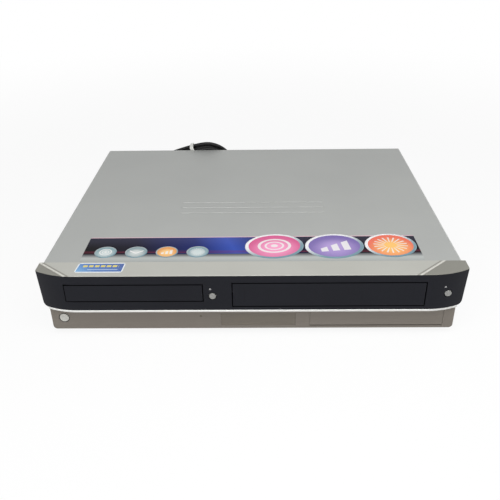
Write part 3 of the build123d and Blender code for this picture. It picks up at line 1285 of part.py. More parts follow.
# Tuner module: screened can with two aerial sockets
with BuildPart() as tuner_module:
    block(tuner_x, (panel_in - TUNER_LENGTH, panel_in), (board_top, board_top + TUNER_HEIGHT))
    for z in aerial_zs:
        rod_y(aerial_x, (panel_in, panel_y), z, AERIAL_RADIUS - NECK_STEP)
        rod_y(aerial_x, (panel_y, panel_y + JACK_REACH), z, AERIAL_RADIUS)
        rod_y(aerial_x, (panel_y, panel_y + JACK_REACH), z, AERIAL_BORE, Mode.SUBTRACT)
finish(tuner_module, "tuner_module")

# Fan frame: square ring on the rear panel, motor cup on three spokes
fan_front = panel_in - FAN_DEPTH
with BuildPart() as fan_frame:
    with BuildSketch(Plane.XZ.offset(-panel_in)):
        with Locations((FAN_X, FAN_Z)):
            RectangleRounded(FAN_SIZE, FAN_SIZE, FAN_CORNER)
            Circle(FAN_BORE, mode=Mode.SUBTRACT)
    extrude(amount=FAN_DEPTH)
    with BuildSketch(Plane.XZ.offset(-fan_front - FAN_BACK)):
        with Locations((FAN_X, FAN_Z)):
            Circle(FAN_CUP)
            for turn in (30, 150, 270):
                with PolarLocations(FAN_BORE / 2, 1, turn):
                    Rectangle(FAN_BORE + FIT, FAN_SPOKE)
    extrude(amount=FAN_BACK)
    rod_y(FAN_X, (fan_front, panel_in - FAN_BACK), FAN_Z, ROTOR_PIN)
finish(fan_frame, "fan_frame")

# Fan rotor: hub with pitched blades
rotor_y = (fan_front + FAN_BACK + FIT, panel_in - FAN_BACK)
with BuildPart() as fan_rotor:
    rod_y(FAN_X, rotor_y, FAN_Z, ROTOR_HUB)
    with Locations(Plane(origin=(FAN_X, sum(rotor_y) / 2, FAN_Z), z_dir=(0, 1, 0))):
        with PolarLocations((ROTOR_HUB + ROTOR_RADIUS) / 2 - FIT, BLADE_COUNT):
            Box(
                ROTOR_RADIUS - ROTOR_HUB,
                BLADE_THICK,
                (rotor_y[1] - rotor_y[0]) * 0.8,
                rotation=(BLADE_PITCH, 0, 0),
            )
    rod_y(FAN_X, rotor_y, FAN_Z, ROTOR_PIN + RUNNING, Mode.SUBTRACT)
finish(fan_rotor, "fan_rotor")

# Cord gland: neck through the rear panel, flange and tapered strain relief
gland_tip = panel_y + GLAND_FLANGE_THICK + GLAND_LENGTH
with BuildPart() as cord_gland:
    rod_y(GLAND_X, (panel_in - GLAND_INSIDE, panel_y), GLAND_Z, GLAND_NECK)
    rod_y(GLAND_X, (panel_y, panel_y + GLAND_FLANGE_THICK), GLAND_Z, GLAND_FLANGE)
    with Locations(Plane(origin=(GLAND_X, gland_tip - GLAND_LENGTH, GLAND_Z), z_dir=(0, 1, 0))):
        Cone(GLAND_ROOT, GLAND_TIP, GLAND_LENGTH, align=(Align.CENTER, Align.CENTER, Align.MIN))
finish(cord_gland, "cord_gland")

# Hank of the mains lead: loops in two layers, leaning on the rear edge of the cover
lean = radians(HANK_LEAN)
slope = radians(HANK_SLOPE)
hank_z = CORD_RADIUS + HANK_PITCH / 2 * sin(lean)
lean_height = (cover_flat - hank_z) / cos(lean)
tie_half = HANK_PITCH / 2 + CORD_RADIUS + TIE_GAP
hank_y = cover_rear + FIT + (tie_half + TIE_THICK) / cos(lean) + lean_height * sin(lean)
hank_plane = Plane(origin=(HANK_X, hank_y, hank_z), x_dir=(1, 0, 0), z_dir=(0, -cos(lean), -sin(lean)))


def hank_route():
    """The hank's centre line, as (kind, points) in the hank's own plane."""
    pieces = []
    at = [-HANK_RUN / 2 + HANK_END, 0.0, -HANK_PITCH / 2]

    def run(du, dw):
        start = tuple(at)
        at[0] += du
        at[1] += dw
        pieces.append(("line", [start, tuple(at)]))

    def bend(radius, start_turn, end_turn):
        """An arc between two directions from its centre, in degrees, in two equal halves."""
        centre = (at[0] - radius * cos(radians(start_turn)), at[1] - radius * sin(radians(start_turn)))
        turns = [start_turn + (end_turn - start_turn) * i / 4 for i in range(5)]
        spots = [(centre[0] + radius * cos(radians(t)), centre[1] + radius * sin(radians(t)), at[2]) for t in turns]
        pieces.append(("arc", spots[0:3]))
        pieces.append(("arc", spots[2:5]))
        at[0], at[1] = spots[4][0], spots[4][1]

    def climb(du, dn):
        """An S of two arcs that changes layer along a run."""
        half, rise = abs(du) / 2, dn / 2
        angle = 2 * atan(abs(rise) / half)
        radius = half / sin(angle)
        sag = radius * (1 - cos(angle / 2)) * (1 if dn > 0 else -1)
        along = radius * sin(angle / 2) * (1 if du > 0 else -1)
        a = tuple(at)
        b = (a[0] + du / 2, a[1], a[2] + rise)
        c = (a[0] + du, a[1], a[2] + dn)
        pieces.append(("arc", [a, (a[0] + along, a[1], a[2] + sag), b]))
        pieces.append(("arc", [b, (c[0] - along, c[1], c[2] - sag), c]))
        at[:] = c

    left = HANK_LEFT
    for layer, step in ((0, HANK_PITCH), (1, -HANK_PITCH)):
        for turn in range(HANK_TURNS):
            right = left + (HANK_RUN * sin(slope) - step) / (1 + cos(slope))
            if layer == 1 and turn == 0:
                climb(-HANK_RUN / 2 - at[0], HANK_PITCH)
            else:
                run(-HANK_RUN / 2 - at[0], 0)
            bend(left, 270, 90 + HANK_SLOPE)
            run(HANK_RUN * cos(slope), HANK_RUN * sin(slope))
            bend(right, 90 + HANK_SLOPE, -90)
            left -= step
    run(-HANK_END, 0)
    return pieces


hank = hank_route()
hank_start = hank_plane.from_local_coords(Vector(*hank[0][1][0]))
hank_stop = hank_plane.from_local_coords(Vector(*hank[-1][1][-1]))


def sample(pieces, per_piece=12):
    """Points along the hank's centre line, for measuring."""
    points = []
    for kind, spots in pieces:
        edge = Line(*spots) if kind == "line" else ThreePointArc(*spots)
        points += [edge.position_at(i / per_piece) for i in range(per_piece)]
    return points


def least_gap(points, clear_steps):
    """The least distance between two points that lie more than clear_steps apart along the line."""
    return min(
        (points[i] - points[j]).length
        for i in range(len(points))
        for j in range(i + clear_steps, len(points))
    )


hank_points = sample(hank)
print("hank gap to itself", round(least_gap(hank_points, 30) - 2 * CORD_RADIUS, 2))


def tube(line):
    """Sweeps the cord's round section along the open line."""
    wire = line.wires()[0]
    with BuildSketch(Plane(origin=wire.position_at(0), z_dir=wire.tangent_at(0))) as section:
        Circle(CORD_RADIUS)
    sweep(sections=section.sketch, path=wire)
    return wire.length


def check_tube(name, part, length):
    """Prints a tube's length and its volume against section times length."""
    print(name, "length", round(length, 1), "volume ratio", round(part.volume / (pi * CORD_RADIUS**2 * length), 4))


with BuildPart() as power_cord_coil:
    with BuildLine(hank_plane) as hank_line:
        for kind, spots in hank:
            if kind == "line":
                Line(*spots)
            else:
                ThreePointArc(*spots)
    hank_length = tube(hank_line)
check_tube("hank", power_cord_coil.part, hank_length)
finish(power_cord_coil, "power_cord_coil")


def route_radii(points):
    """The largest arc at each corner of a route: 0.45 of the shorter run over the tangent of half the turn."""
    radii = []
    for a, b, c in zip(points, points[1:], points[2:]):
        before, after = Vector(*b) - Vector(*a), Vector(*c) - Vector(*b)
        turn = radians(before.get_angle(after))
        radii.append(0.45 * min(before.length, after.length) / tan(turn / 2))
    return radii


# Lead: from the gland, round behind the case and along the floor to the hank
lead_route = [
    (GLAND_X, gland_tip, GLAND_Z),
    (45.0, 205.0, 24.0),
    (37.5, 222.0, 19.0),
    (20.0, 232.0, 14.0),
    (0.0, 229.5, 9.5),
    (-17.5, 220.5, 6.5),
    (-37.0, 208.8, 4.6),
    (-58.0, 201.9, 4.05),
    (hank_start.X + 20.0, hank_start.Y, hank_start.Z),
    (hank_start.X, hank_start.Y, hank_start.Z),
]
# Tail: from the hank along the floor to the plug
tail_route = [
    (hank_stop.X, hank_stop.Y, hank_stop.Z),
    (-106.0, hank_stop.Y, hank_stop.Z),
    (-128.0, 194.9, 2.55),
    (-146.0, 199.2, 3.4),
    (-159.0, 204.7, 6.4),
    (-172.0, 210.6, 7.1),
]

lead_radii = route_radii(lead_route)
print("lead radii", [round(r, 1) for r in lead_radii])
with BuildPart() as power_cord_lead:
    with BuildLine() as lead_line:
        FilletPolyline(*lead_route, radius=lead_radii)
    lead_length = tube(lead_line)
check_tube("lead", power_cord_lead.part, lead_length)
finish(power_cord_lead, "power_cord_lead")

tail_radii = route_radii(tail_route)
print("tail radii", [round(r, 1) for r in tail_radii])
with BuildPart() as power_cord_tail:
    with BuildLine() as tail_line:
        FilletPolyline(*tail_route, radius=tail_radii)
    tail_length = tube(tail_line)
check_tube("tail", power_cord_tail.part, tail_length)
finish(power_cord_tail, "power_cord_tail")
print("cord length", round(lead_length + hank_length + tail_length, 1))

# Plug: tapered neck, moulded body and two blades, lying on the floor
plug_along = (Vector(*tail_route[-1]) - Vector(*tail_route[-2])).normalized()
plug_plane = Plane(origin=tail_route[-1], x_dir=(-plug_along.Y, plug_along.X, 0), z_dir=plug_along)
with BuildPart() as power_plug:
    with Locations(plug_plane):
        Cone(CORD_RADIUS + PLUG_MOUTH, PLUG_TAIL_RADIUS, PLUG_TAIL, align=(Align.CENTER, Align.CENTER, Align.MIN))
    with BuildSketch(plug_plane.offset(PLUG_TAIL)):
        RectangleRounded(PLUG_WIDTH, PLUG_THICK, PLUG_ROUND)
    extrude(amount=PLUG_LENGTH)
    with BuildSketch(plug_plane.offset(PLUG_TAIL + PLUG_LENGTH)):
        with GridLocations(BLADE_SPREAD, BLADE_SPREAD, 2, 1):
            Rectangle(BLADE_GAUGE, BLADE_WIDTH)
    extrude(amount=BLADE_LENGTH)
finish(power_plug, "power_plug")

# Tie: a band round the upper runs of the hank
tie_high = HANK_LEFT + CORD_RADIUS + TIE_GAP
tie_low = HANK_LEFT - HANK_TURNS * HANK_PITCH - CORD_RADIUS - TIE_GAP
left_centre = hank_plane.from_local_coords(Vector(-HANK_RUN / 2, HANK_LEFT, 0))
along_run = (hank_plane.x_dir * cos(slope) + hank_plane.y_dir * sin(slope)).normalized()
up_run = hank_plane.y_dir * cos(slope) - hank_plane.x_dir * sin(slope)
tie_origin = left_centre + along_run * TIE_ALONG + up_run * ((tie_high + tie_low) / 2)
tie_plane = Plane(origin=tie_origin, x_dir=up_run, z_dir=along_run)
with BuildPart() as cord_tie:
    with BuildSketch(tie_plane):
        RectangleRounded(tie_high - tie_low + 2 * TIE_THICK, 2 * (tie_half + TIE_THICK), CORD_RADIUS)
        RectangleRounded(tie_high - tie_low, 2 * tie_half, CORD_RADIUS - TIE_THICK, mode=Mode.SUBTRACT)
    extrude(amount=TIE_WIDTH)
finish(cord_tie, "cord_tie")
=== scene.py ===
"""Looks of a disc and cassette recorder: silver cover, dark bowed front, printed band and mains lead."""

import json
from functools import reduce
from math import cos, pi, radians, sin
from operator import add, mul

import bmesh
import bpy
from mathutils import Matrix, Vector


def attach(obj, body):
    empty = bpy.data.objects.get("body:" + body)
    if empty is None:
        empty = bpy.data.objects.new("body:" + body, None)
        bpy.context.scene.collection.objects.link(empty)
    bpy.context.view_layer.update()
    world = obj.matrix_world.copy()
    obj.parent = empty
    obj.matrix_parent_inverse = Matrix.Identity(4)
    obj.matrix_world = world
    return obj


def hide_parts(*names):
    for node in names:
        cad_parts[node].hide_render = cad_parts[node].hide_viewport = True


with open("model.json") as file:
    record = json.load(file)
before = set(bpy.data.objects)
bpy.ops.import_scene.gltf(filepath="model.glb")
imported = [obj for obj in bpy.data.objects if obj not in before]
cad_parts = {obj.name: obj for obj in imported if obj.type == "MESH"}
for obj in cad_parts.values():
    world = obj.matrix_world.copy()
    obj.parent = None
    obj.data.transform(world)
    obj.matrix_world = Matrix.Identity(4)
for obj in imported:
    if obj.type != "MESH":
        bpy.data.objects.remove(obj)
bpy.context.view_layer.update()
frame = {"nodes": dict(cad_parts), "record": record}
nodes = frame["nodes"]
scene = bpy.context.scene
scene.view_settings.view_transform = "Standard"

MM = 0.001
OVERHEAD = 200  # millimetres, above the whole recorder
AHEAD = -260  # millimetres, in front of the whole recorder
DOWN = (0.0, 0.0, -1.0)
REARWARDS = (0.0, 1.0, 0.0)

# Camera at the photograph's place
CAMERA_PLACE = Vector((9.76671, -686.32626, 395.27144)) * MM
CAMERA_RIGHT = Vector((0.99982966, 0.0125893, -0.01349679))
CAMERA_UP = Vector((0.00552691, 0.49348791, 0.86973509))
CAMERA_AHEAD = Vector((-0.01760986, 0.86966154, -0.49333427))
camera_lens = bpy.data.cameras.new("photo_camera")
camera_lens.sensor_width = 36.0
camera_lens.lens = 44.395
camera = bpy.data.objects.new("photo_camera", camera_lens)
camera_turn = Matrix((CAMERA_RIGHT, CAMERA_UP, -CAMERA_AHEAD)).transposed().to_4x4()
camera.matrix_world = Matrix.Translation(CAMERA_PLACE) @ camera_turn
scene.collection.objects.link(camera)
scene.camera = camera


# Shader and geometry node helpers
WHITE = (1.0, 1.0, 1.0, 1.0)


def tint(red, green, blue):
    """A screen colour of 0 to 255 as the linear colour that a shader takes."""
    steps = [value / 255 for value in (red, green, blue)]
    return tuple(s / 12.92 if s <= 0.04045 else ((s + 0.055) / 1.055) ** 2.4 for s in steps) + (1.0,)


def socket_of(sockets, key):
    """A node's socket by its place, identifier or name."""
    if isinstance(key, int):
        return sockets[key]
    for socket in sockets:
        if socket.identifier == key:
            return socket
    return sockets[key]


def fill_ramp(ramp, stops):
    """Sets the places and colours of a colour ramp's stops."""
    ramp.elements[0].position = stops[0][0]
    ramp.elements[1].position = stops[-1][0]
    for place, colour in stops[1:-1]:
        ramp.elements.new(place)
    for element, (place, colour) in zip(ramp.elements, stops):
        element.color = colour


class Wire:
    """One value on its way through a node tree, with plain arithmetic."""

    def __init__(self, owner, socket):
        self.owner = owner
        self.socket = socket

    def maths(self, operation, first, second=0.0):
        return self.owner.node("ShaderNodeMath", {"operation": operation}, {0: first, 1: second})

    def __add__(self, other):
        return self.maths("ADD", self, other)

    def __sub__(self, other):
        return self.maths("SUBTRACT", self, other)

    def __rsub__(self, other):
        return self.maths("SUBTRACT", other, self)

    def __mul__(self, other):
        return self.maths("MULTIPLY", self, other)

    def __pow__(self, other):
        return self.maths("POWER", self, other)

    def __rpow__(self, other):
        return self.maths("POWER", other, self)

    def __abs__(self):
        return self.maths("ABSOLUTE", self)

    def __lt__(self, other):
        return self.maths("LESS_THAN", self, other)

    def __gt__(self, other):
        return self.maths("GREATER_THAN", self, other)

    def most(self, other):
        return self.maths("MAXIMUM", self, other)

    def least(self, other):
        return self.maths("MINIMUM", self, other)

    def part(self):
        return self.maths("FRACT", self)

    def angle(self, other):
        return self.maths("ARCTAN2", self, other)

    __radd__ = __add__
    __rmul__ = __mul__


class NodeTree:
    """The node tree of a finish, of grown pieces or of the room."""

    def node(self, kind, settings=None, sockets=None, out=0):
        """Adds a node, sets it, then gives its sockets values or links; what comes back is one output."""
        node = self.tree.nodes.new(kind)
        for key, value in (settings or {}).items():
            if key == "stops":
                fill_ramp(node.color_ramp, value)
            else:
                setattr(node, key, value)
        for key, value in (sockets or {}).items():
            socket = socket_of(node.inputs, key)
            for item in value if isinstance(value, list) else [value]:
                if isinstance(item, Wire):
                    self.tree.links.new(item.socket, socket)
                else:
                    socket.default_value = item
        return Wire(self, socket_of(node.outputs, out)) if node.outputs else None


class Finish(NodeTree):
    """One finish of the recorder: a principled surface and the nodes that vary it."""

    def __init__(self, name, **fixed):
        self.material = bpy.data.materials.new(name)
        self.material.use_nodes = True
        self.tree = self.material.node_tree
        self.tree.nodes.clear()
        names = {key.replace("_", " ").title().replace("Ior", "IOR"): value for key, value in fixed.items()}
        self.surface = self.node("ShaderNodeBsdfPrincipled", None, names)
        self.shader = self.surface.socket.node
        self.node("ShaderNodeOutputMaterial", None, {0: self.surface})

    def spot(self, kind="Object", scale=(1.0, 1.0, 1.0)):
        place = self.node("ShaderNodeTexCoord", out=kind)
        return self.node("ShaderNodeMapping", None, {"Vector": place, "Scale": scale})

    def axes(self, kind="Object"):
        place = self.node("ShaderNodeSeparateXYZ", None, {0: self.spot(kind)})
        return [Wire(self, socket) for socket in place.socket.node.outputs]

    def speckle(self, scale, detail=2.0, stretch=(1.0, 1.0, 1.0)):
        sockets = {"Vector": self.spot("Object", stretch), "Scale": scale, "Detail": detail}
        return self.node("ShaderNodeTexNoise", None, sockets)

    def cells(self, scale, out="Color"):
        sockets = {"Vector": self.spot(), "Scale": scale}
        return self.node("ShaderNodeTexVoronoi", {"feature": "F1"}, sockets, out)

    def between(self, value, low, high):
        """0 below low, 1 above high, and a smooth rise between them."""
        sockets = {"Value": value, "From Min": low, "From Max": high}
        return self.node("ShaderNodeMapRange", {"interpolation_type": "SMOOTHSTEP"}, sockets)

    def within(self, axes, middle, halves):
        """1 inside a box round a middle, and 0 outside it."""
        return reduce(mul, (abs(axis - spot) < half for axis, spot, half in zip(axes, middle, halves)))

    def facing(self):
        """How far the surface looks to the rear: -1 is straight ahead."""
        normal = self.node("ShaderNodeNewGeometry", out="Normal")
        return self.node("ShaderNodeSeparateXYZ", None, {0: normal}, 1)

    def mix(self, share, first, second):
        sockets = {"Factor_Float": share, "A_Color": first, "B_Color": second}
        return self.node("ShaderNodeMix", {"data_type": "RGBA"}, sockets, "Result_Color")

    def shades(self, value, stops):
        return self.node("ShaderNodeValToRGB", {"stops": stops}, {0: value})

    def feed(self, socket, wire):
        self.tree.links.new(wire.socket, self.shader.inputs[socket])

    def relief(self, height, depth):
        """Bumps the surface by a height times a depth in metres."""
        bump = self.node("ShaderNodeBump", None, {"Height": height, "Distance": depth, "Strength": 1.0})
        self.feed("Normal", bump)


# Plug: where it starts, which way it points, and places along it
PLUG_START = (-0.172, 0.2106, 0.0071)
PLUG_AHEAD = Vector((-13.0, 5.9, 0.7)).normalized()
PLUG_FACE = 0.0362
GRIP_START = 0.013
GRIP_END = 0.031
GRIP_RIBS = 400.0  # in a metre

# Openings of the front, with painted shade inside them, and sink lines, in x and z
POWER_HOLE = (-0.194, 0.022)
POWER_HOLE_REACH = 0.0064
OPENINGS = (0.0, 0.0548)
OPENINGS_HALVES = (0.205, 0.0148)
WALL_FACING = -0.5  # a wall of an opening looks less to the front than this
CASSETTE_DOOR_X = 0.0767
SINK_LINE_OUT = 0.0835  # from the middle of the cassette door
SINK_LINE_HALF = 0.0003
SINK_LINE_Z = 0.055
SINK_LINE_REACH = 0.008

# Boards and the parts on them
UPRIGHT_BOARD_Y = -0.14  # the front board stands before this
FRONT_BOARD_FACE = -0.14905
FLAT_BOARD_TOP = 0.01765
CAPACITORS = (-0.178, 0.109)
CAPACITORS_HALVES = (0.0115, 0.0285)
TRANSFORMER = (-0.131, 0.109, 0.028)
TAPE_HALVES = (0.0185, 0.0165, 0.006)
FINS_REAR = 0.05  # fins of the heat sink end here towards the rear
FINS_FOOT = 0.0197
HEAT_PLATE_Y = 0.076
HEAT_PLATE_HALF = 0.0018

# Ends of the ledge's creases, seen from above
LEFT_CREASE = ((-0.2159, -0.1485), (-0.1847, -0.1739))
RIGHT_CREASE = ((0.1632, -0.1771), (0.1901, -0.1527))
LEDGE_FALL = -120.0  # bump heights for each metre past a crease
# Rib along each crease, in millimetres
RIB_OUT = 1.1
RIB_HALF = 0.8
RIB_HEIGHT = 0.4
RIB_DOME = 0.9  # share of its height that it falls towards its long edges
RIB_SHADOW = 1.9  # painted shadow lines, this far from the rib's middle


# Finishes
def silver_paint(name, low, high, rough, peel):
    """Metallic paint: fine flake, soft clouding, an orange-peel skin and a few faint rubs."""
    paint = Finish(name, metallic=0.25)
    flake = paint.speckle(2600.0, 1.0)
    cloud = paint.speckle(11.0, 3.0)
    rub = paint.between(paint.speckle(38.0, 6.0, (1.0, 0.35, 1.0)), 0.62, 0.78)
    paint.feed("Base Color", paint.mix(flake * 0.45 + cloud * 0.55 + rub * 0.12, low, high))
    paint.feed("Roughness", rough + cloud * 0.1 + rub * 0.08)
    paint.relief(paint.speckle(900.0, 2.0) * 0.7 + flake * 0.3, peel)
    return paint


def cover_paint():
    return silver_paint("cover_silver_paint", tint(154, 156, 154), tint(178, 180, 177), 0.36, 0.00003)


def ledge_paint():
    """Warm silver with a crease near each end: painted shadow lines beside its rib, a painted highlight
    along the rib, and painted shade on the end facets beyond it.
    """
    paint = Finish("ledge_silver_paint", metallic=0.35)
    flake = paint.speckle(2400.0, 1.0)
    cloud = paint.speckle(16.0, 3.0)
    x, y = paint.axes()[:2]
    tips = []
    for (ax, ay), (bx, by) in (LEFT_CREASE, RIGHT_CREASE):
        span = ((bx - ax) ** 2 + (by - ay) ** 2) ** 0.5
        tips.append((x - ax) * ((by - ay) / span) - (y - ay) * ((bx - ax) / span))
    outside = tips[0].most(tips[1])
    from_rib = abs(outside - RIB_OUT * MM)
    # Painted shadow: dark lines on both sides of each rib; painted highlight: a light band along its middle
    line = 1.0 - paint.between(abs(from_rib - RIB_SHADOW * MM), 0.0003, 0.0014)
    lit = 1.0 - paint.between(from_rib, 0.0003, 0.0016)
    fleck = flake * 0.4 + cloud * 0.6
    plain = paint.mix(fleck, tint(166, 166, 159), tint(190, 190, 183))
    # Painted shade: a darker copy of the paint on the end facets past each crease, which tip down only in
    # the bump
    painted_end_shade = paint.mix(fleck, tint(122, 121, 113), tint(140, 139, 131))
    plain_with_painted_end_shade = paint.mix(paint.between(outside, 0.0024, 0.0044), plain, painted_end_shade)
    # Painted shadow lines beside the rib first, then the painted highlight over them
    marked = paint.mix(line * 0.6, plain_with_painted_end_shade, tint(96, 90, 80))
    paint.feed("Base Color", paint.mix(lit * 0.5, marked, tint(226, 224, 216)))
    paint.feed("Roughness", 0.34 + cloud * 0.1)
    paint.relief(outside.most(0.0) * LEDGE_FALL + flake * 0.03, 0.001)
    return paint


def moulding(name, low, high, rough, grain_scale, grain_depth, **fixed):
    """Moulded plastic: a fine spark-eroded grain and a slow change of tone."""
    plastic = Finish(name, **fixed)
    grain = plastic.speckle(grain_scale, 2.0)
    cloud = plastic.speckle(19.0, 3.0)
    plastic.feed("Base Color", plastic.mix(grain * 0.5 + cloud * 0.5, low, high))
    plastic.feed("Roughness", rough + cloud * 0.08 + grain * 0.06)
    plastic.relief(grain, grain_depth)
    return plastic


def brushed(name, low, high, rough, stretch, **fixed):
    """Metal or metal-faced plastic with fine lines along one direction."""
    metal = Finish(name, **fixed)
    lines = metal.speckle(1.0, 3.0, stretch)
    cloud = metal.speckle(14.0, 3.0)
    metal.feed("Base Color", metal.mix(lines * 0.6 + cloud * 0.4, low, high))
    metal.feed("Roughness", rough + lines * 0.14)
    metal.relief(lines, 0.00002)
    return metal


def lower_panel_silver():
    """Brushed silver of the lower front, with painted shade that blackens the wall in the hole of the power
    button.
    """
    panel = brushed("lower_panel_silver", tint(108, 102, 94), tint(124, 117, 109), 0.34,
                    (30.0, 1600.0, 1600.0), metallic=0.3)
    x, z = panel.axes()[::2]
    across, up = x - POWER_HOLE[0], z - POWER_HOLE[1]
    # Painted shade: the wall of the power button's hole turns near black
    wall = (panel.facing() > WALL_FACING) * ((across * across + up * up) ** 0.5 < POWER_HOLE_REACH)
    plain = Wire(panel, panel.shader.inputs["Base Color"].links[0].from_socket)
    panel.feed("Base Color", panel.mix(wall, plain, tint(10, 10, 10)))
    return panel


def front_charcoal():
    """Charcoal front: fine grain, painted shade that blackens the inside of each opening, and faint sink
    lines by the cassette door.
    """
    plastic = Finish("front_charcoal", specular_ior_level=0.12)
    grain = plastic.speckle(1500.0, 2.0)
    cloud = plastic.speckle(19.0, 3.0)
    x, z = plastic.axes()[::2]
    # Painted shade: the inside of each opening turns near black
    opening_walls_painted_shade = (plastic.facing() > WALL_FACING) * plastic.within((x, z), OPENINGS, OPENINGS_HALVES)
    beside_line = abs(abs(x - CASSETTE_DOOR_X) - SINK_LINE_OUT)
    sink = (beside_line < SINK_LINE_HALF) * (abs(z - SINK_LINE_Z) < SINK_LINE_REACH)
    skin = plastic.mix(grain * 0.5 + cloud * 0.5, tint(20, 21, 26), tint(29, 30, 36))
    marked = plastic.mix(sink * 0.35, skin, tint(12, 12, 14))
    plastic.feed("Base Color", plastic.mix(opening_walls_painted_shade, marked, tint(4, 4, 5)))
    plastic.feed("Roughness", 0.4 + cloud * 0.08 + grain * 0.06)
    plastic.relief(grain, 0.00003)
    return plastic


def plug_moulding():
    """Black plug: ribbed grip along its body, and bright blades past its face."""
    plug = Finish("plug_black", specular_ior_level=0.35)
    offsets = zip(plug.axes(), PLUG_START, PLUG_AHEAD)
    along = reduce(add, ((axis - start) * ahead for axis, start, ahead in offsets))
    blade = along > PLUG_FACE
    ribs = plug.between(abs((along * GRIP_RIBS).part() - 0.5), 0.1, 0.4)
    grip = ribs * (along > GRIP_START) * (along < GRIP_END)
    fine = plug.speckle(1300.0, 2.0)
    black = plug.mix(fine, tint(22, 22, 23), tint(34, 34, 36))
    plug.feed("Base Color", plug.mix(blade, black, tint(206, 196, 160)))
    plug.feed("Metallic", blade * 0.9)
    plug.feed("Roughness", 0.46 - blade * 0.2)
    plug.relief(grip * (1.0 - blade), 0.0004)
    return plug


def zinc_sheet():
    """Zinc-coated sheet: pale crystals of slightly different tone, with rolling lines over them."""
    zinc = Finish("zinc_sheet", metallic=0.75)
    crystal = zinc.node("ShaderNodeSeparateColor", None, {0: zinc.cells(240.0)})
    lines = zinc.speckle(1.0, 3.0, (1600.0, 1600.0, 30.0))
    zinc.feed("Base Color", zinc.mix(crystal * 0.5 + lines * 0.5, tint(158, 161, 164), tint(182, 185, 188)))
    zinc.feed("Roughness", 0.36 + crystal * 0.08)
    zinc.relief(lines * 0.6 + crystal * 0.4, 0.00002)
    return zinc


def circuit_board():
    """Green board: traces under the mask, tinned spots, and the parts on it in colours of their own."""
    board = Finish("circuit_board_green", specular_ior_level=0.4)
    x, y, z = board.axes()
    row = (x * 260.0).part()
    lane = (y * 190.0).part()
    wander = board.speckle(42.0, 1.0)
    trace = (row < 0.34) * (wander > 0.5) + (lane < 0.34) * (wander < 0.5)
    pad = board.cells(260.0, "Distance") < 0.16
    green = board.mix(trace.least(1.0), tint(22, 74, 44), tint(38, 104, 62))
    bare = board.mix(pad * 0.8, green, tint(176, 178, 176))
    upright = y < UPRIGHT_BOARD_Y
    part = upright * (y < FRONT_BOARD_FACE) + (1.0 - upright) * (z > FLAT_BOARD_TOP)
    can = board.within((x, y), CAPACITORS, CAPACITORS_HALVES)
    tape = board.within((x, y, z), TRANSFORMER, TAPE_HALVES)
    fins = (y < FINS_REAR) * (z > FINS_FOOT)
    heat_plate = abs(y - HEAT_PLATE_Y) < HEAT_PLATE_HALF
    sink = (1.0 - upright) * (x < 0.0) * fins.most(heat_plate)
    fine = board.speckle(900.0, 2.0)
    moulded = board.mix(can, board.mix(fine, tint(22, 22, 24), tint(36, 36, 38)), tint(22, 32, 72))
    taped = board.mix(tape, moulded, tint(196, 164, 62))
    dressed = board.mix(sink, taped, board.mix(fine, tint(158, 160, 162), tint(182, 184, 186)))
    board.feed("Base Color", board.mix(part, bare, dressed))
    board.feed("Roughness", 0.42 - pad * (1.0 - part) * 0.12)
    board.feed("Metallic", pad * (1.0 - part) * 0.7 + sink * part * 0.7)
    board.relief((trace * 0.5 + pad) * (1.0 - part) + fine * part * 0.3, 0.00006)
    return board


def lead_sheath():
    """Black flex of a mains lead: satin, with faint scuffs."""
    sheath = Finish("mains_lead_black", specular_ior_level=0.25)
    scuff = sheath.speckle(160.0, 4.0)
    fine = sheath.speckle(1900.0, 2.0)
    worn = sheath.between(scuff, 0.5, 0.8)
    sheath.feed("Base Color", sheath.mix(worn, tint(11, 11, 12), tint(27, 27, 28)))
    sheath.feed("Roughness", 0.42 + scuff * 0.16)
    sheath.relief(fine, 0.00002)
    return sheath


SLOT_FINISH = {
    "cover_silver": cover_paint(),
    "ledge_silver": ledge_paint(),
    "zinc_steel": zinc_sheet(),
    "bezel_black": front_charcoal(),
    "trim_bright": brushed("trim_bright_silver", tint(206, 206, 203), tint(224, 224, 221), 0.28,
                           (20.0, 900.0, 900.0), metallic=0.3),
    "lower_silver": lower_panel_silver(),
    "smoke_lens": moulding("display_lens_smoke", tint(88, 80, 68), tint(98, 90, 77), 0.14, 700.0, 0.000004,
                           coat_weight=0.6, coat_roughness=0.06),
    "button_silver": brushed("button_silver", tint(128, 128, 126), tint(150, 150, 147), 0.3,
                             (900.0, 900.0, 40.0), metallic=0.35),
    "black_plastic": moulding("black_moulding", tint(22, 22, 23), tint(34, 34, 36), 0.46, 1300.0, 0.00004,
                              specular_ior_level=0.35),
    "grey_plastic": moulding("grey_moulding", tint(108, 110, 112), tint(126, 128, 130), 0.44,
                             1300.0, 0.00004),
    "white_plastic": moulding("white_moulding", tint(206, 205, 198), tint(222, 221, 214), 0.4,
                              1300.0, 0.00004),
    "steel": brushed("bright_steel", tint(170, 171, 172), tint(202, 203, 204), 0.26, (60.0, 1400.0, 1400.0),
                     metallic=0.9),
    "screw_black": moulding("screw_black_zinc", tint(38, 38, 40), tint(58, 58, 60), 0.36, 1800.0, 0.00003,
                            metallic=0.6),
    "aluminium": brushed("aluminium", tint(186, 188, 190), tint(212, 214, 216), 0.32, (900.0, 60.0, 900.0),
                         metallic=0.85),
    "jack_metal": brushed("jack_nickel", tint(182, 179, 170), tint(214, 211, 202), 0.2,
                          (900.0, 900.0, 900.0), metallic=0.9),
    "board_green": circuit_board(),
    "rubber": moulding("foot_rubber", tint(26, 26, 27), tint(40, 40, 41), 0.7, 900.0, 0.00006,
                       specular_ior_level=0.3),
    "cord_black": lead_sheath(),
    "tie_white": moulding("tie_white", tint(214, 214, 210), tint(234, 234, 230), 0.5, 1100.0, 0.00005),
}
OWN_FINISH = {
    "power_plug": plug_moulding(),
    "power_button": brushed("power_button_silver", tint(176, 175, 169), tint(200, 199, 193), 0.3,
                            (900.0, 900.0, 40.0), metallic=0.35),
}
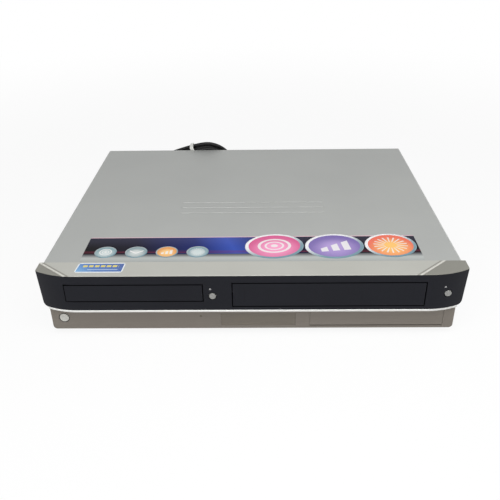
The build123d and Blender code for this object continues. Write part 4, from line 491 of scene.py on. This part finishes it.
for entry in frame["record"]["subparts"]:
    finish = OWN_FINISH.get(entry["node"], SLOT_FINISH[entry["material_slot"]])
    for material_slot in nodes[entry["node"]].material_slots:
        material_slot.material = finish.material


# Mains lead in millimetres: from the gland to the hank, round its turns in two layers, out to the plug
CORD_DIAMETER = 5.0
LEAD_ROUTE = [(45, 190, 24), (45, 205, 24), (37.5, 222, 19), (20, 232, 14), (0, 229.5, 9.5),
              (-17.5, 220.5, 6.5), (-37, 208.8, 4.6), (-58, 201.9, 4.05), (-80, 199.77, 3.949),
              (-100, 199.77, 3.949)]
TAIL_ROUTE = [(-79.06, 194.361, 2.5), (-106, 194.361, 2.5), (-128, 194.9, 2.55), (-146, 199.2, 3.4),
              (-159, 204.7, 6.4), (-172, 210.6, 7.1)]
HANK_ORIGIN = Vector((-90, 197.0653, 3.2247))
HANK_LEAN = radians(15)
HANK_SLOPE = radians(19)
HANK_RUN = 40.0
HANK_PITCH = 5.6
HANK_LEFT = 35.5
HANK_TURNS = 3  # in each of the two layers
hank_up = Vector((0, -sin(HANK_LEAN), cos(HANK_LEAN)))
hank_out = Vector((0, -cos(HANK_LEAN), -sin(HANK_LEAN)))


def loop_points(across, up, radius, start, end, count, layer):
    """Control points round one end of a turn of the hank."""
    step = (end - start) / count
    reach = radius / cos(step / 2)
    turns = [start + step * (i + 0.5) for i in range(count)]
    return [HANK_ORIGIN + Vector((across + reach * cos(t), 0, 0))
            + hank_up * (up + reach * sin(t)) + hank_out * layer for t in turns]


def hank_points():
    """Control points of the hank's turns: inwards in the first layer, outwards in the second."""
    points = []
    left, low = HANK_LEFT, 0.0
    for layer, step in ((-HANK_PITCH / 2, HANK_PITCH), (HANK_PITCH / 2, -HANK_PITCH)):
        for _ in range(HANK_TURNS):
            right = left + (HANK_RUN * sin(HANK_SLOPE) - step) / (1 + cos(HANK_SLOPE))
            top = radians(90) + HANK_SLOPE
            points += loop_points(-HANK_RUN / 2, low + left, left, radians(270), top, count=6, layer=layer)
            end = -HANK_RUN / 2 + (left - right) * cos(top) + HANK_RUN * cos(HANK_SLOPE)
            points += loop_points(end, low + step + right, right, top, radians(-90), count=7, layer=layer)
            left -= step
            low += step
    return points


def lay_cord(name, points, diameter):
    """A round cord along one smooth line."""
    curve = bpy.data.curves.new(name, "CURVE")
    curve.dimensions = "3D"
    line = curve.splines.new("NURBS")
    line.points.add(len(points) - 1)
    for spot, place in zip(line.points, points):
        spot.co = (*(Vector(place) * MM), 1.0)
    line.order_u = 3
    line.use_endpoint_u = True
    line.resolution_u = 8
    curve.bevel_depth = diameter / 2 * MM
    curve.bevel_resolution = 5
    curve.use_fill_caps = True
    cord = bpy.data.objects.new(name, curve)
    scene.collection.objects.link(cord)
    return cord


mains_lead = lay_cord("mains_lead", LEAD_ROUTE + hank_points() + TAIL_ROUTE, CORD_DIAMETER)
mains_lead.data.materials.append(SLOT_FINISH["cord_black"].material)
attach(mains_lead, "case")
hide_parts("power_cord_lead", "power_cord_coil", "power_cord_tail")


# Pieces made as meshes
def keep_piece(name, mesh_maker, finish, body):
    """Turns a bmesh into a piece that rides on a body."""
    bmesh.ops.recalc_face_normals(mesh_maker, faces=mesh_maker.faces)
    mesh = bpy.data.meshes.new(name)
    mesh_maker.to_mesh(mesh)
    mesh_maker.free()
    mesh.materials.append(finish.material)
    piece = bpy.data.objects.new(name, mesh)
    scene.collection.objects.link(piece)
    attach(piece, body)


def surface_point(node, start, along):
    """Where a line from a point first meets a node, and which way that face looks, in metres."""
    hit, place, normal = nodes[node].ray_cast(Vector(start) * MM, Vector(along))[:3]
    if not hit:
        raise ValueError(f"the line from {tuple(start)} misses {node}")
    return place, normal


def rounded(u, v, reach_u, reach_v):
    """Moves a place in a unit square whose corners are rounded by these shares of its sides."""
    du = max(reach_u - u, 0.0, u - 1 + reach_u) / reach_u
    dv = max(reach_v - v, 0.0, v - 1 + reach_v) / reach_v
    far = (du * du + dv * dv) ** 0.5
    if far == 0 or du == 0 or dv == 0:
        return u, v
    pull = max(du, dv) / far
    new_u = u + (du - du * pull) * reach_u * (1 if u < 0.5 else -1)
    new_v = v + (dv - dv * pull) * reach_v * (1 if v < 0.5 else -1)
    return new_u, new_v


SKIN_GAP = 0.01  # millimetres from a surface to the underside of what is laid on it
PRINT_THICK = 0.12


def skin_plate(name, node, outline, along, thick, finish, body, columns, rows, corner, dome=0.0):
    """A thin piece laid on a node: a grid between four corners in millimetres, rounded and closed all round.

    A dome of 0 is flat, and 1 falls to nothing at its two long edges.
    """
    maker = bmesh.new()
    uv = maker.loops.layers.uv.new("print")
    top, bottom = [], []
    shares = {}
    for j in range(rows + 1):
        for i in range(columns + 1):
            u, v = rounded(i / columns, j / rows, *corner)
            low = Vector(outline[0]).lerp(Vector(outline[1]), u)
            high = Vector(outline[3]).lerp(Vector(outline[2]), u)
            place = surface_point(node, low.lerp(high, v), along)[0]
            crown = thick * (1.0 - dome * (2.0 * v - 1.0) ** 2)
            for layer, lift in ((top, crown), (bottom, SKIN_GAP)):
                spot = maker.verts.new(place - Vector(along) * lift * MM)
                layer.append(spot)
                shares[spot] = (u, v)
    wide = columns + 1
    for layer in (top, bottom):
        for j in range(rows):
            for i in range(columns):
                k = j * wide + i
                maker.faces.new([layer[k], layer[k + 1], layer[k + 1 + wide], layer[k + wide]])
    rim = list(range(columns)) + [j * wide + columns for j in range(rows)]
    rim += [rows * wide + i for i in range(columns, 0, -1)] + [j * wide for j in range(rows, 0, -1)]
    for a, b in zip(rim, rim[1:] + rim[:1]):
        maker.faces.new([top[a], top[b], bottom[b], bottom[a]])
    for face in maker.faces:
        for loop in face.loops:
            loop[uv].uv = shares[loop.vert]
    keep_piece(name, maker, finish, body)


BADGE_SIDES = 72
# Share of a badge's half width, and height in millimetres, from the foot of its rim to near its middle
BADGE_PROFILE = [(1.0, 0.0), (1.0, 0.22), (0.97, 0.3), (0.9, 0.3), (0.87, 0.22), (0.6, 0.26), (0.3, 0.28)]
BADGE_MIDDLE = 0.29


def oval_badge(name, centre, half_wide, half_high, lean, base, finish, body, slot):
    """A domed oval sticker with a raised rim, on a level surface."""
    maker = bmesh.new()
    uv = maker.loops.layers.uv.new("print")
    shares = {}
    rings = []
    for radius, height in BADGE_PROFILE:
        ring = []
        for k in range(BADGE_SIDES):
            t = 2 * pi * k / BADGE_SIDES
            u, v = radius * cos(t), radius * sin(t)
            a, b = u * half_wide, v * half_high
            place_x = centre[0] + a * cos(lean) - b * sin(lean)
            place_y = centre[1] + a * sin(lean) + b * cos(lean)
            spot = maker.verts.new(Vector((place_x, place_y, base + height)) * MM)
            shares[spot] = (0.5 + u / 2, 0.5 + v / 2)
            ring.append(spot)
        rings.append(ring)
    for lower, upper in zip(rings, rings[1:]):
        for k in range(BADGE_SIDES):
            after = (k + 1) % BADGE_SIDES
            maker.faces.new([lower[k], lower[after], upper[after], upper[k]])
    for ring, height in ((rings[-1], BADGE_MIDDLE), (rings[0], 0.0)):
        middle = maker.verts.new(Vector((centre[0], centre[1], base + height)) * MM)
        shares[middle] = (0.5, 0.5)
        for k in range(BADGE_SIDES):
            maker.faces.new([middle, ring[k], ring[(k + 1) % BADGE_SIDES]])
    for face in maker.faces:
        face.smooth = True
        for loop in face.loops:
            loop[uv].uv = shares[loop.vert]
    keep_piece(name, maker, finish, body)


# Printed band on the cover: dark blue sweep over a silver foot
def band_print():
    ink = Finish("cover_band_print", specular_ior_level=0.04)
    u, v = ink.axes("UV")[:2]
    dot = ink.speckle(1400.0, 1.0)
    sweep = ink.shades(u + (v - 0.6) * 0.06, [
        (0.0, tint(14, 12, 15)), (0.16, tint(20, 18, 34)), (0.34, tint(30, 40, 100)),
        (0.44, tint(58, 82, 172)), (0.55, tint(26, 32, 80)), (0.68, tint(20, 18, 28)),
        (1.0, tint(15, 14, 18))])
    glow = ink.between(v, 0.5, 0.95) * 0.07
    dark = ink.mix(glow, sweep, tint(150, 150, 190))
    rule = (abs(v - 0.355) < 0.013).most(abs(v - 0.405) < 0.006)
    ruled = ink.mix(rule * 0.75, dark, tint(116, 40, 62))
    foot = ink.shades(v, [(0.0, tint(168, 172, 170)), (0.14, tint(182, 186, 184)),
                          (0.24, tint(112, 114, 116)), (0.3, tint(66, 64, 72))])
    printed = ink.mix(v > 0.29, foot, ruled)
    edge = ink.mix(v > 0.972, printed, tint(220, 188, 198))
    ink.feed("Base Color", ink.mix(dot * 0.015, edge, tint(120, 120, 126)))
    ink.feed("Roughness", 0.4 + dot * 0.1)
    ink.relief(dot, 0.00001)
    return ink


BAND_CORNERS = [(-174.9, -149.7, OVERHEAD), (175.1, -149.6, OVERHEAD), (174.4, -96.6, OVERHEAD),
                (-174.7, -98.4, OVERHEAD)]
skin_plate("cover_band", "top_cover", BAND_CORNERS, DOWN, PRINT_THICK, band_print(), "case",
           columns=120, rows=20, corner=(0.004, 0.03))


# Badges on the band, each with a plain figure of its own
def badge_print(name, inner, outer, rim, figure):
    ink = Finish(name, coat_weight=0.4, coat_roughness=0.12)
    u, v = ink.axes("UV")[:2]
    across, along = u * 2.0 - 1.0, v * 2.0 - 1.0
    far = (across * across + along * along) ** 0.5
    fine = ink.speckle(1500.0, 1.0)
    field = ink.mix(ink.between(far + along * 0.3, 0.1, 0.95), inner, outer)
    if figure == "rings":
        mark = (abs(far - 0.52) < 0.05).most(abs(far - 0.3) < 0.035).most(far < 0.12)
    elif figure == "rays":
        mark = ((along.angle(across) * (9 / pi)).part() < 0.3) * (far > 0.24) * (far < 0.66)
    elif figure == "steps":
        bars = ((across * 2.6 + 0.31).part() < 0.62) * (abs(across) < 0.52)
        mark = bars * (along < across * 0.5 + 0.1) * (along > -0.4)
    else:
        mark = (abs(along - abs(across) * 0.7 + 0.22) < 0.09) * (abs(across) < 0.62)
    drawn = ink.mix(mark * 0.85, field, tint(236, 234, 232))
    ring = ink.mix(ink.between(along - across * 0.5, -0.7, 0.7), tint(92, 132, 146), rim)
    ink.feed("Base Color", ink.mix(far > 0.88, drawn, ring))
    ink.feed("Roughness", 0.26 + fine * 0.1)
    ink.relief(fine, 0.00001)
    return ink


WHITE_RIM = tint(236, 236, 238)
STEEL_RIM = tint(156, 168, 172)
LARGE_BADGES = [
    ("magenta", (24.0, -119.0), (31.0, 26.0), 8, tint(244, 150, 194), tint(206, 56, 128), "rings"),
    ("violet", (87.0, -119.5), (31.0, 26.0), 8, tint(168, 142, 206), tint(98, 72, 158), "steps"),
    ("orange", (146.0, -118.5), (27.0, 25.0), 8, tint(250, 190, 84), tint(228, 84, 40), "rays"),
]
SMALL_BADGES = [
    ("teal", (-152.0, -130.5), (11.5, 11.5), 0, tint(196, 210, 210), tint(116, 150, 158), "rings"),
    ("steel", (-120.0, -130.5), (11.5, 11.5), 0, tint(204, 210, 208), tint(120, 144, 150), "chevron"),
    ("amber", (-88.0, -130.5), (11.5, 11.5), 0, tint(248, 200, 120), tint(222, 142, 48), "steps"),
    ("mist", (-56.0, -130.5), (11.5, 11.5), 0, tint(196, 210, 210), tint(112, 146, 156), "rays"),
]
LARGE_BADGE_LIFT = 0.02  # millimetres over the level of the small badges
BAND_MIDDLE = (0, -115, OVERHEAD)
band_top = surface_point("top_cover", BAND_MIDDLE, DOWN)[0].z / MM + PRINT_THICK
BADGE_ROWS = (("large_badge_", LARGE_BADGES, WHITE_RIM, band_top + LARGE_BADGE_LIFT),
              ("small_badge_", SMALL_BADGES, STEEL_RIM, band_top))
for size_name, badges, rim, base in BADGE_ROWS:
    for colour, place, halves, lean, inner, outer, figure in badges:
        ink = badge_print(size_name + colour + "_print", inner, outer, rim, figure)
        oval_badge(size_name + colour, place, *halves, radians(lean), base, ink, "case", "cover_silver")


# Sticker on the ledge
def ledge_sticker_print():
    ink = Finish("ledge_sticker_print", coat_weight=0.4, coat_roughness=0.1)
    u, v = ink.axes("UV")[:2]
    fine = ink.speckle(1500.0, 1.0)
    blue = ink.shades(u * 0.7 + v * 0.3, [
        (0.0, tint(120, 178, 220)), (0.35, tint(40, 104, 178)), (1.0, tint(24, 66, 140))])
    upper = (abs(v - 0.66) < 0.1) * ((u * 8.0).part() < 0.74) * (u > 0.12) * (u < 0.88)
    lower = (abs(v - 0.3) < 0.05) * (u > 0.25) * (u < 0.88)
    marked = ink.mix(lower * 0.5, ink.mix(upper * 0.9, blue, tint(226, 208, 84)), tint(196, 216, 232))
    inside = (abs(u - 0.5) < 0.475) * (abs(v - 0.5) < 0.42)
    ink.feed("Base Color", ink.mix(inside, tint(226, 232, 234), marked))
    ink.feed("Roughness", 0.22 + fine * 0.1)
    ink.relief(fine, 0.00001)
    return ink


STICKER_CORNERS = [(-175.5, -170.0, OVERHEAD), (-127.5, -170.0, OVERHEAD), (-126.5, -152.2, OVERHEAD),
                   (-174.0, -152.2, OVERHEAD)]
skin_plate("ledge_sticker", "bezel_ledge", STICKER_CORNERS, DOWN, PRINT_THICK, ledge_sticker_print(), "case",
           columns=48, rows=24, corner=(0.06, 0.16))


# Ribs along the ledge's creases
def ledge_rib(name, crease, first, last):
    """A slim domed rib just outside a crease, between two shares of the crease's length."""
    start, stop = (Vector(spot) / MM for spot in crease)
    along = (stop - start).normalized()
    out = Vector((along.y, -along.x))
    near, far = RIB_OUT - RIB_HALF, RIB_OUT + RIB_HALF
    places = [start.lerp(stop, share) + out * reach
              for share, reach in ((first, near), (last, near), (last, far), (first, far))]
    corners = [(*place, OVERHEAD) for place in places]
    skin_plate(name, "bezel_ledge", corners, DOWN, RIB_HEIGHT, SLOT_FINISH["ledge_silver"], "case",
               columns=40, rows=8, corner=(0.03, 0.3), dome=RIB_DOME)


ledge_rib("left_ledge_rib", LEFT_CREASE, first=0.16, last=0.9)
ledge_rib("right_ledge_rib", RIGHT_CREASE, first=0.18, last=1.0)


# Signs beside the opening buttons, signs on keys and the eye of the receiver, in millimetres
SIGN_GAP = 0.01
SIGN_THICK = 0.05
OPEN_SIGN_SIZE = 2.4


def open_sign(name, node, centre, size):
    """A small triangle over a bar, printed on the front."""
    maker = bmesh.new()
    spot, normal = surface_point(node, (centre[0], AHEAD, centre[1]), REARWARDS)
    side = Vector((0, 0, 1)).cross(normal).normalized()
    up = normal.cross(side).normalized()
    triangle = [(-0.5, 0.1), (0.5, 0.1), (0.0, 0.62)]
    bar = [(-0.5, -0.22), (0.5, -0.22), (0.5, -0.04), (-0.5, -0.04)]
    for shape in (triangle, bar):
        places = [spot + ((side * a + up * b) * size + normal * SIGN_GAP) * MM for a, b in shape]
        flat = maker.faces.new([maker.verts.new(place) for place in places])
        flat.normal_update()
        thick = bmesh.ops.extrude_face_region(maker, geom=[flat])
        raised = [g for g in thick["geom"] if isinstance(g, bmesh.types.BMVert)]
        bmesh.ops.translate(maker, verts=raised, vec=normal * SIGN_THICK * MM)
    keep_piece(name, maker, sign_ink, "case")


def face_mark(name, node, body, place, radius, sides, ink):
    """A small flat figure with equal sides on the front of a piece."""
    maker = bmesh.new()
    spot = surface_point(node, (place[0], AHEAD, place[1]), REARWARDS)[0]
    turns = [2 * pi * (k + 0.5) / sides for k in range(sides)]
    rings = [[maker.verts.new(spot + Vector((radius * cos(t), lift, radius * sin(t))) * MM) for t in turns]
             for lift in (0.0, -SIGN_THICK)]
    maker.faces.new(rings[1])
    maker.faces.new(rings[0])
    for k in range(sides):
        after = (k + 1) % sides
        maker.faces.new([rings[0][k], rings[0][after], rings[1][after], rings[1][k]])
    keep_piece(name, maker, ink, body)


sign_ink = moulding("sign_ink_grey", tint(150, 150, 150), tint(172, 172, 172), 0.5, 1500.0, 0.00001)
open_sign("tray_open_sign", "front_bezel", (-40.6, 61.4), OPEN_SIGN_SIZE)
open_sign("cassette_eject_sign", "front_bezel", (191.4, 61.8), OPEN_SIGN_SIZE)
record_ink = moulding("sign_ink_red", tint(176, 34, 32), tint(196, 50, 46), 0.4, 1500.0, 0.00001)
stop_ink = moulding("sign_ink_dark", tint(40, 40, 42), tint(54, 54, 56), 0.4, 1500.0, 0.00001)
face_mark("record_sign", "record_button", "record_button", (175, 21), radius=1.6, sides=28, ink=record_ink)
face_mark("remote_eye", "lower_panel", "case", (-52.3, 23.4), radius=1.4, sides=28,
          ink=SLOT_FINISH["smoke_lens"])
face_mark("stop_sign", "stop_button", "stop_button", (189, 21), radius=1.7, sides=4, ink=stop_ink)


# Screws, grown by geometry nodes
class Grower(NodeTree):
    """A geometry node tree with named inputs."""

    def __init__(self, name):
        self.tree = bpy.data.node_groups.new(name, "GeometryNodeTree")
        self.tree.is_modifier = True
        self.tree.interface.new_socket("Geometry", in_out="INPUT", socket_type="NodeSocketGeometry")
        self.tree.interface.new_socket("Geometry", in_out="OUTPUT", socket_type="NodeSocketGeometry")
        self.values = {}

    def size(self, name, value):
        socket = self.tree.interface.new_socket(name, in_out="INPUT", socket_type="NodeSocketFloat")
        self.values[socket.identifier] = value

    def start(self):
        entry = self.node("NodeGroupInput").socket.node
        return {socket.name: Wire(self, socket) for socket in entry.outputs if socket.name}

    def end(self, geometry, finish):
        whole = self.node("GeometryNodeRealizeInstances", None, {0: geometry})
        dressed = self.node("GeometryNodeSetMaterial", None,
                            {"Geometry": whole, "Material": finish.material})
        self.node("NodeGroupOutput", None, {0: dressed})

    def grow(self, name, spots, facings):
        """Runs the tree on a set of points with facings, and gives a plain mesh piece."""
        mesh = bpy.data.meshes.new(name + "_points")
        mesh.from_pydata([Vector(s) * MM for s in spots], [], [])
        facing = mesh.attributes.new("facing", "FLOAT_VECTOR", "POINT")
        facing.data.foreach_set("vector", [value for f in facings for value in f])
        piece = bpy.data.objects.new(name, mesh)
        scene.collection.objects.link(piece)
        modifier = piece.modifiers.new("grow", "NODES")
        modifier.node_group = self.tree
        for identifier, value in self.values.items():
            modifier[identifier] = value
        grown = bpy.data.meshes.new_from_object(piece.evaluated_get(bpy.context.evaluated_depsgraph_get()))
        piece.modifiers.clear()
        piece.data = grown
        return piece


SCREW_SIDES = 28


def cross_head_tree(radius, height, finish):
    """Pan-head screws with a cross recess, one on each point, in shares of the head's radius and height."""
    screw = Grower("cross_head_screws")
    screw.size("Head Radius", radius * MM)
    screw.size("Head Height", height * MM)
    sizes = screw.start()
    head_radius, head_height = sizes["Head Radius"], sizes["Head Height"]
    skirt = screw.node("GeometryNodeMeshCylinder", {"fill_type": "NGON"},
                       {"Vertices": SCREW_SIDES, "Radius": head_radius, "Depth": head_height * 1.1})
    dome = screw.node("GeometryNodeMeshCone", {"fill_type": "NGON"},
                      {"Vertices": SCREW_SIDES, "Radius Top": head_radius * 0.72,
                       "Radius Bottom": head_radius, "Depth": head_height * 0.45})
    dome_lift = screw.node("ShaderNodeCombineXYZ", None, {2: head_height * 0.549})
    raised = screw.node("GeometryNodeTransform", None, {"Geometry": dome, "Translation": dome_lift})
    bars = []
    for long_way in (0, 1):
        bar_size = screw.node("ShaderNodeCombineXYZ", None, {
            long_way: head_radius * 1.15, 1 - long_way: head_radius * 0.24, 2: head_height * 1.1})
        bar = screw.node("GeometryNodeMeshCube", None, {"Size": bar_size})
        bar_lift = screw.node("ShaderNodeCombineXYZ", None, {2: head_height * 0.95})
        bars.append(screw.node("GeometryNodeTransform", None, {"Geometry": bar, "Translation": bar_lift}))
    body = screw.node("GeometryNodeMeshBoolean", {"operation": "UNION"}, {"Mesh 2": [skirt, raised]})
    head = screw.node("GeometryNodeMeshBoolean", {"operation": "DIFFERENCE"},
                      {"Mesh 1": body, "Mesh 2": bars})
    facing = screw.node("GeometryNodeInputNamedAttribute", {"data_type": "FLOAT_VECTOR"}, {"Name": "facing"})
    roll = screw.node("FunctionNodeRandomValue", {"data_type": "FLOAT"},
                      {"Min_001": 0.0, "Max_001": 1.5, "Seed": 7}, "Value_001")
    spun = screw.node("FunctionNodeAxisAngleToRotation", None, {"Axis": (0, 0, 1), "Angle": roll})
    aimed = screw.node("FunctionNodeAlignRotationToVector", {"axis": "Z"},
                       {"Rotation": spun, "Vector": facing})
    placed = screw.node("GeometryNodeInstanceOnPoints", None,
                        {"Points": sizes["Geometry"], "Instance": head, "Rotation": aimed})
    screw.end(placed, finish)
    return screw


screw_finish = SLOT_FINISH["screw_black"]
SIDE_SCREW_X = 212.9
SIDE_SCREW_YS = (-90.5, 140)
SIDE_SCREW_Z = 16
side_spots = [(side * SIDE_SCREW_X, y, SIDE_SCREW_Z) for side in (-1, 1) for y in SIDE_SCREW_YS]
side_facings = [(side, 0, 0) for side in (-1, 1) for y in SIDE_SCREW_YS]
cover_heads = cross_head_tree(radius=3.6, height=1.6, finish=screw_finish)
case_screws = cover_heads.grow("cover_screws", side_spots, side_facings)
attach(case_screws, "case")
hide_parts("case_screws")

REAR_SCREW_Y = 168.4
REAR_SCREWS = [(-198, 66), (-198, 20), (62, 66), (146, 47), (198, 66), (198, 14), (-70, 66)]
rear_spots = [(x, REAR_SCREW_Y, z) for x, z in REAR_SCREWS]
rear_facings = [(0, 1, 0)] * len(rear_spots)
rear_heads = cross_head_tree(radius=3.0, height=1.3, finish=screw_finish)
rear_screws = rear_heads.grow("rear_panel_screws", rear_spots, rear_facings)
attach(rear_screws, "case")


# Coloured collars of the phono jacks, in millimetres
COLLAR_INNER = 4.2
COLLAR_OUTER = 6.0
COLLAR_SIDES = 32


def collar(name, centres, finish):
    """Flat coloured rings round phono jacks; they face along Y."""
    maker = bmesh.new()
    turns = [2 * pi * k / COLLAR_SIDES for k in range(COLLAR_SIDES)]
    for x, face, seat, z in centres:
        rings = []
        section = ((COLLAR_INNER, seat), (COLLAR_OUTER, seat), (COLLAR_OUTER, face), (COLLAR_INNER, face))
        for radius, y in section:
            rings.append([maker.verts.new(Vector((x + radius * cos(t), y, z + radius * sin(t))) * MM)
                          for t in turns])
        for first, second in zip(rings, rings[1:] + rings[:1]):
            for k in range(COLLAR_SIDES):
                after = (k + 1) % COLLAR_SIDES
                maker.faces.new([first[k], first[after], second[after], second[k]])
    keep_piece(name, maker, finish, "case")


COLLAR_FINISH = {
    "yellow": moulding("collar_yellow", tint(214, 178, 30), tint(232, 200, 58), 0.36, 1500.0, 0.00002),
    "white": moulding("collar_white", tint(222, 222, 218), tint(238, 238, 234), 0.36, 1500.0, 0.00002),
    "red": moulding("collar_red", tint(170, 26, 28), tint(196, 44, 42), 0.36, 1500.0, 0.00002),
    "green": moulding("collar_green", tint(28, 120, 62), tint(48, 142, 80), 0.36, 1500.0, 0.00002),
    "blue": moulding("collar_blue", tint(28, 66, 156), tint(50, 88, 178), 0.36, 1500.0, 0.00002),
}
# Columns of the rear jacks, with the colours of their lower and upper jacks
REAR_COLUMNS = [(76, "yellow", "yellow"), (90, "white", "white"), (104, "red", "red"),
                (118, "green", "white"), (132, "blue", "red")]
REAR_COLLAR_YS = (170.4, 168.02)  # face and seat
REAR_JACK_ZS = (40, 54)
for colour in COLLAR_FINISH:
    rear = [(x, *REAR_COLLAR_YS, z) for x, lower, upper in REAR_COLUMNS
            for z, mine in zip(REAR_JACK_ZS, (lower, upper)) if mine == colour]
    collar("rear_collars_" + colour, rear, COLLAR_FINISH[colour])
FRONT_COLLAR_YS = (-160.2, -158.02)
FRONT_JACK_Z = 21
FRONT_JACKS = [(72, "yellow"), (86, "white"), (100, "red")]
for x, colour in FRONT_JACKS:
    collar("front_collar_" + colour, [(x, *FRONT_COLLAR_YS, FRONT_JACK_Z)], COLLAR_FINISH[colour])


# Floor and soft light
def seen_or_mirrored(owner):
    """1 where a surface is seen straight, in gloss or through glass, and 0 where it only gives light."""
    seen = owner.node("ShaderNodeLightPath", out="Is Camera Ray")
    gloss = Wire(owner, seen.socket.node.outputs["Is Glossy Ray"])
    through = Wire(owner, seen.socket.node.outputs["Is Transmission Ray"])
    return seen.most(gloss).most(through)


def white_floor():
    """Pale floor that the camera and reflections see as nearly white, with the shadow left in it."""
    floor = Finish("floor_white", roughness=0.9, specular_ior_level=0.1)
    fine = floor.speckle(3.0, 2.0)
    floor.feed("Base Color", floor.mix(fine, tint(242, 242, 242), tint(248, 248, 248)))
    x, y = floor.axes()[:2]
    away = floor.between((x * x + y * y) ** 0.5, 0.4, 1.4)
    share = seen_or_mirrored(floor) * (0.9 + away * 0.1)
    lit = floor.node("ShaderNodeEmission", None, {"Color": WHITE, "Strength": 1.0})
    mixed = floor.node("ShaderNodeMixShader", None, {0: share, 1: floor.surface, 2: lit})
    output = [n for n in floor.tree.nodes if n.type == "OUTPUT_MATERIAL"][0]
    floor.tree.links.new(mixed.socket, output.inputs[0])
    return floor


FLOOR_CORNERS = [(-6, -4, 0), (6, -4, 0), (6, 8, 0), (-6, 8, 0)]
floor_mesh = bpy.data.meshes.new("floor")
floor_mesh.from_pydata(FLOOR_CORNERS, [], [(0, 1, 2, 3)])
floor_mesh.materials.append(white_floor().material)
floor = bpy.data.objects.new("floor", floor_mesh)
scene.collection.objects.link(floor)


class Studio(NodeTree):
    """The room round the recorder: an even grey light, and a white backdrop where it is seen or mirrored."""

    def __init__(self, room_strength):
        world = bpy.data.worlds.new("studio")
        scene.world = world
        world.use_nodes = True
        self.tree = world.node_tree
        self.tree.nodes.clear()
        room = self.node("ShaderNodeBackground", None, {"Color": WHITE, "Strength": room_strength})
        backdrop = self.node("ShaderNodeBackground", None, {"Color": WHITE, "Strength": 1.0})
        shown = self.node("ShaderNodeMixShader", None, {0: seen_or_mirrored(self), 1: room, 2: backdrop})
        self.node("ShaderNodeOutputWorld", None, {0: shown})


ROOM_STRENGTH = 0.3
Studio(ROOM_STRENGTH)


def softbox(name, place, target, width, height, power):
    """A large soft lamp aimed at a point."""
    lamp_data = bpy.data.lights.new(name, "AREA")
    lamp_data.shape = "RECTANGLE"
    lamp_data.size = width
    lamp_data.size_y = height
    lamp_data.energy = power
    lamp = bpy.data.objects.new(name, lamp_data)
    lamp.location = place
    lamp.rotation_euler = (Vector(target) - Vector(place)).to_track_quat("-Z", "Y").to_euler()
    scene.collection.objects.link(lamp)


softbox("top_softbox", place=(0.06, -0.45, 0.62), target=(0.0, -0.14, 0.05),
        width=0.9, height=0.36, power=3.9)
softbox("front_softbox", place=(-0.5, -2.0, 0.9), target=(0.0, -0.1, 0.05),
        width=1.4, height=1.0, power=12.0)
softbox("back_softbox", place=(1.7, 1.3, 0.7), target=(0.0, 0.17, 0.04),
        width=1.0, height=0.8, power=5.0)
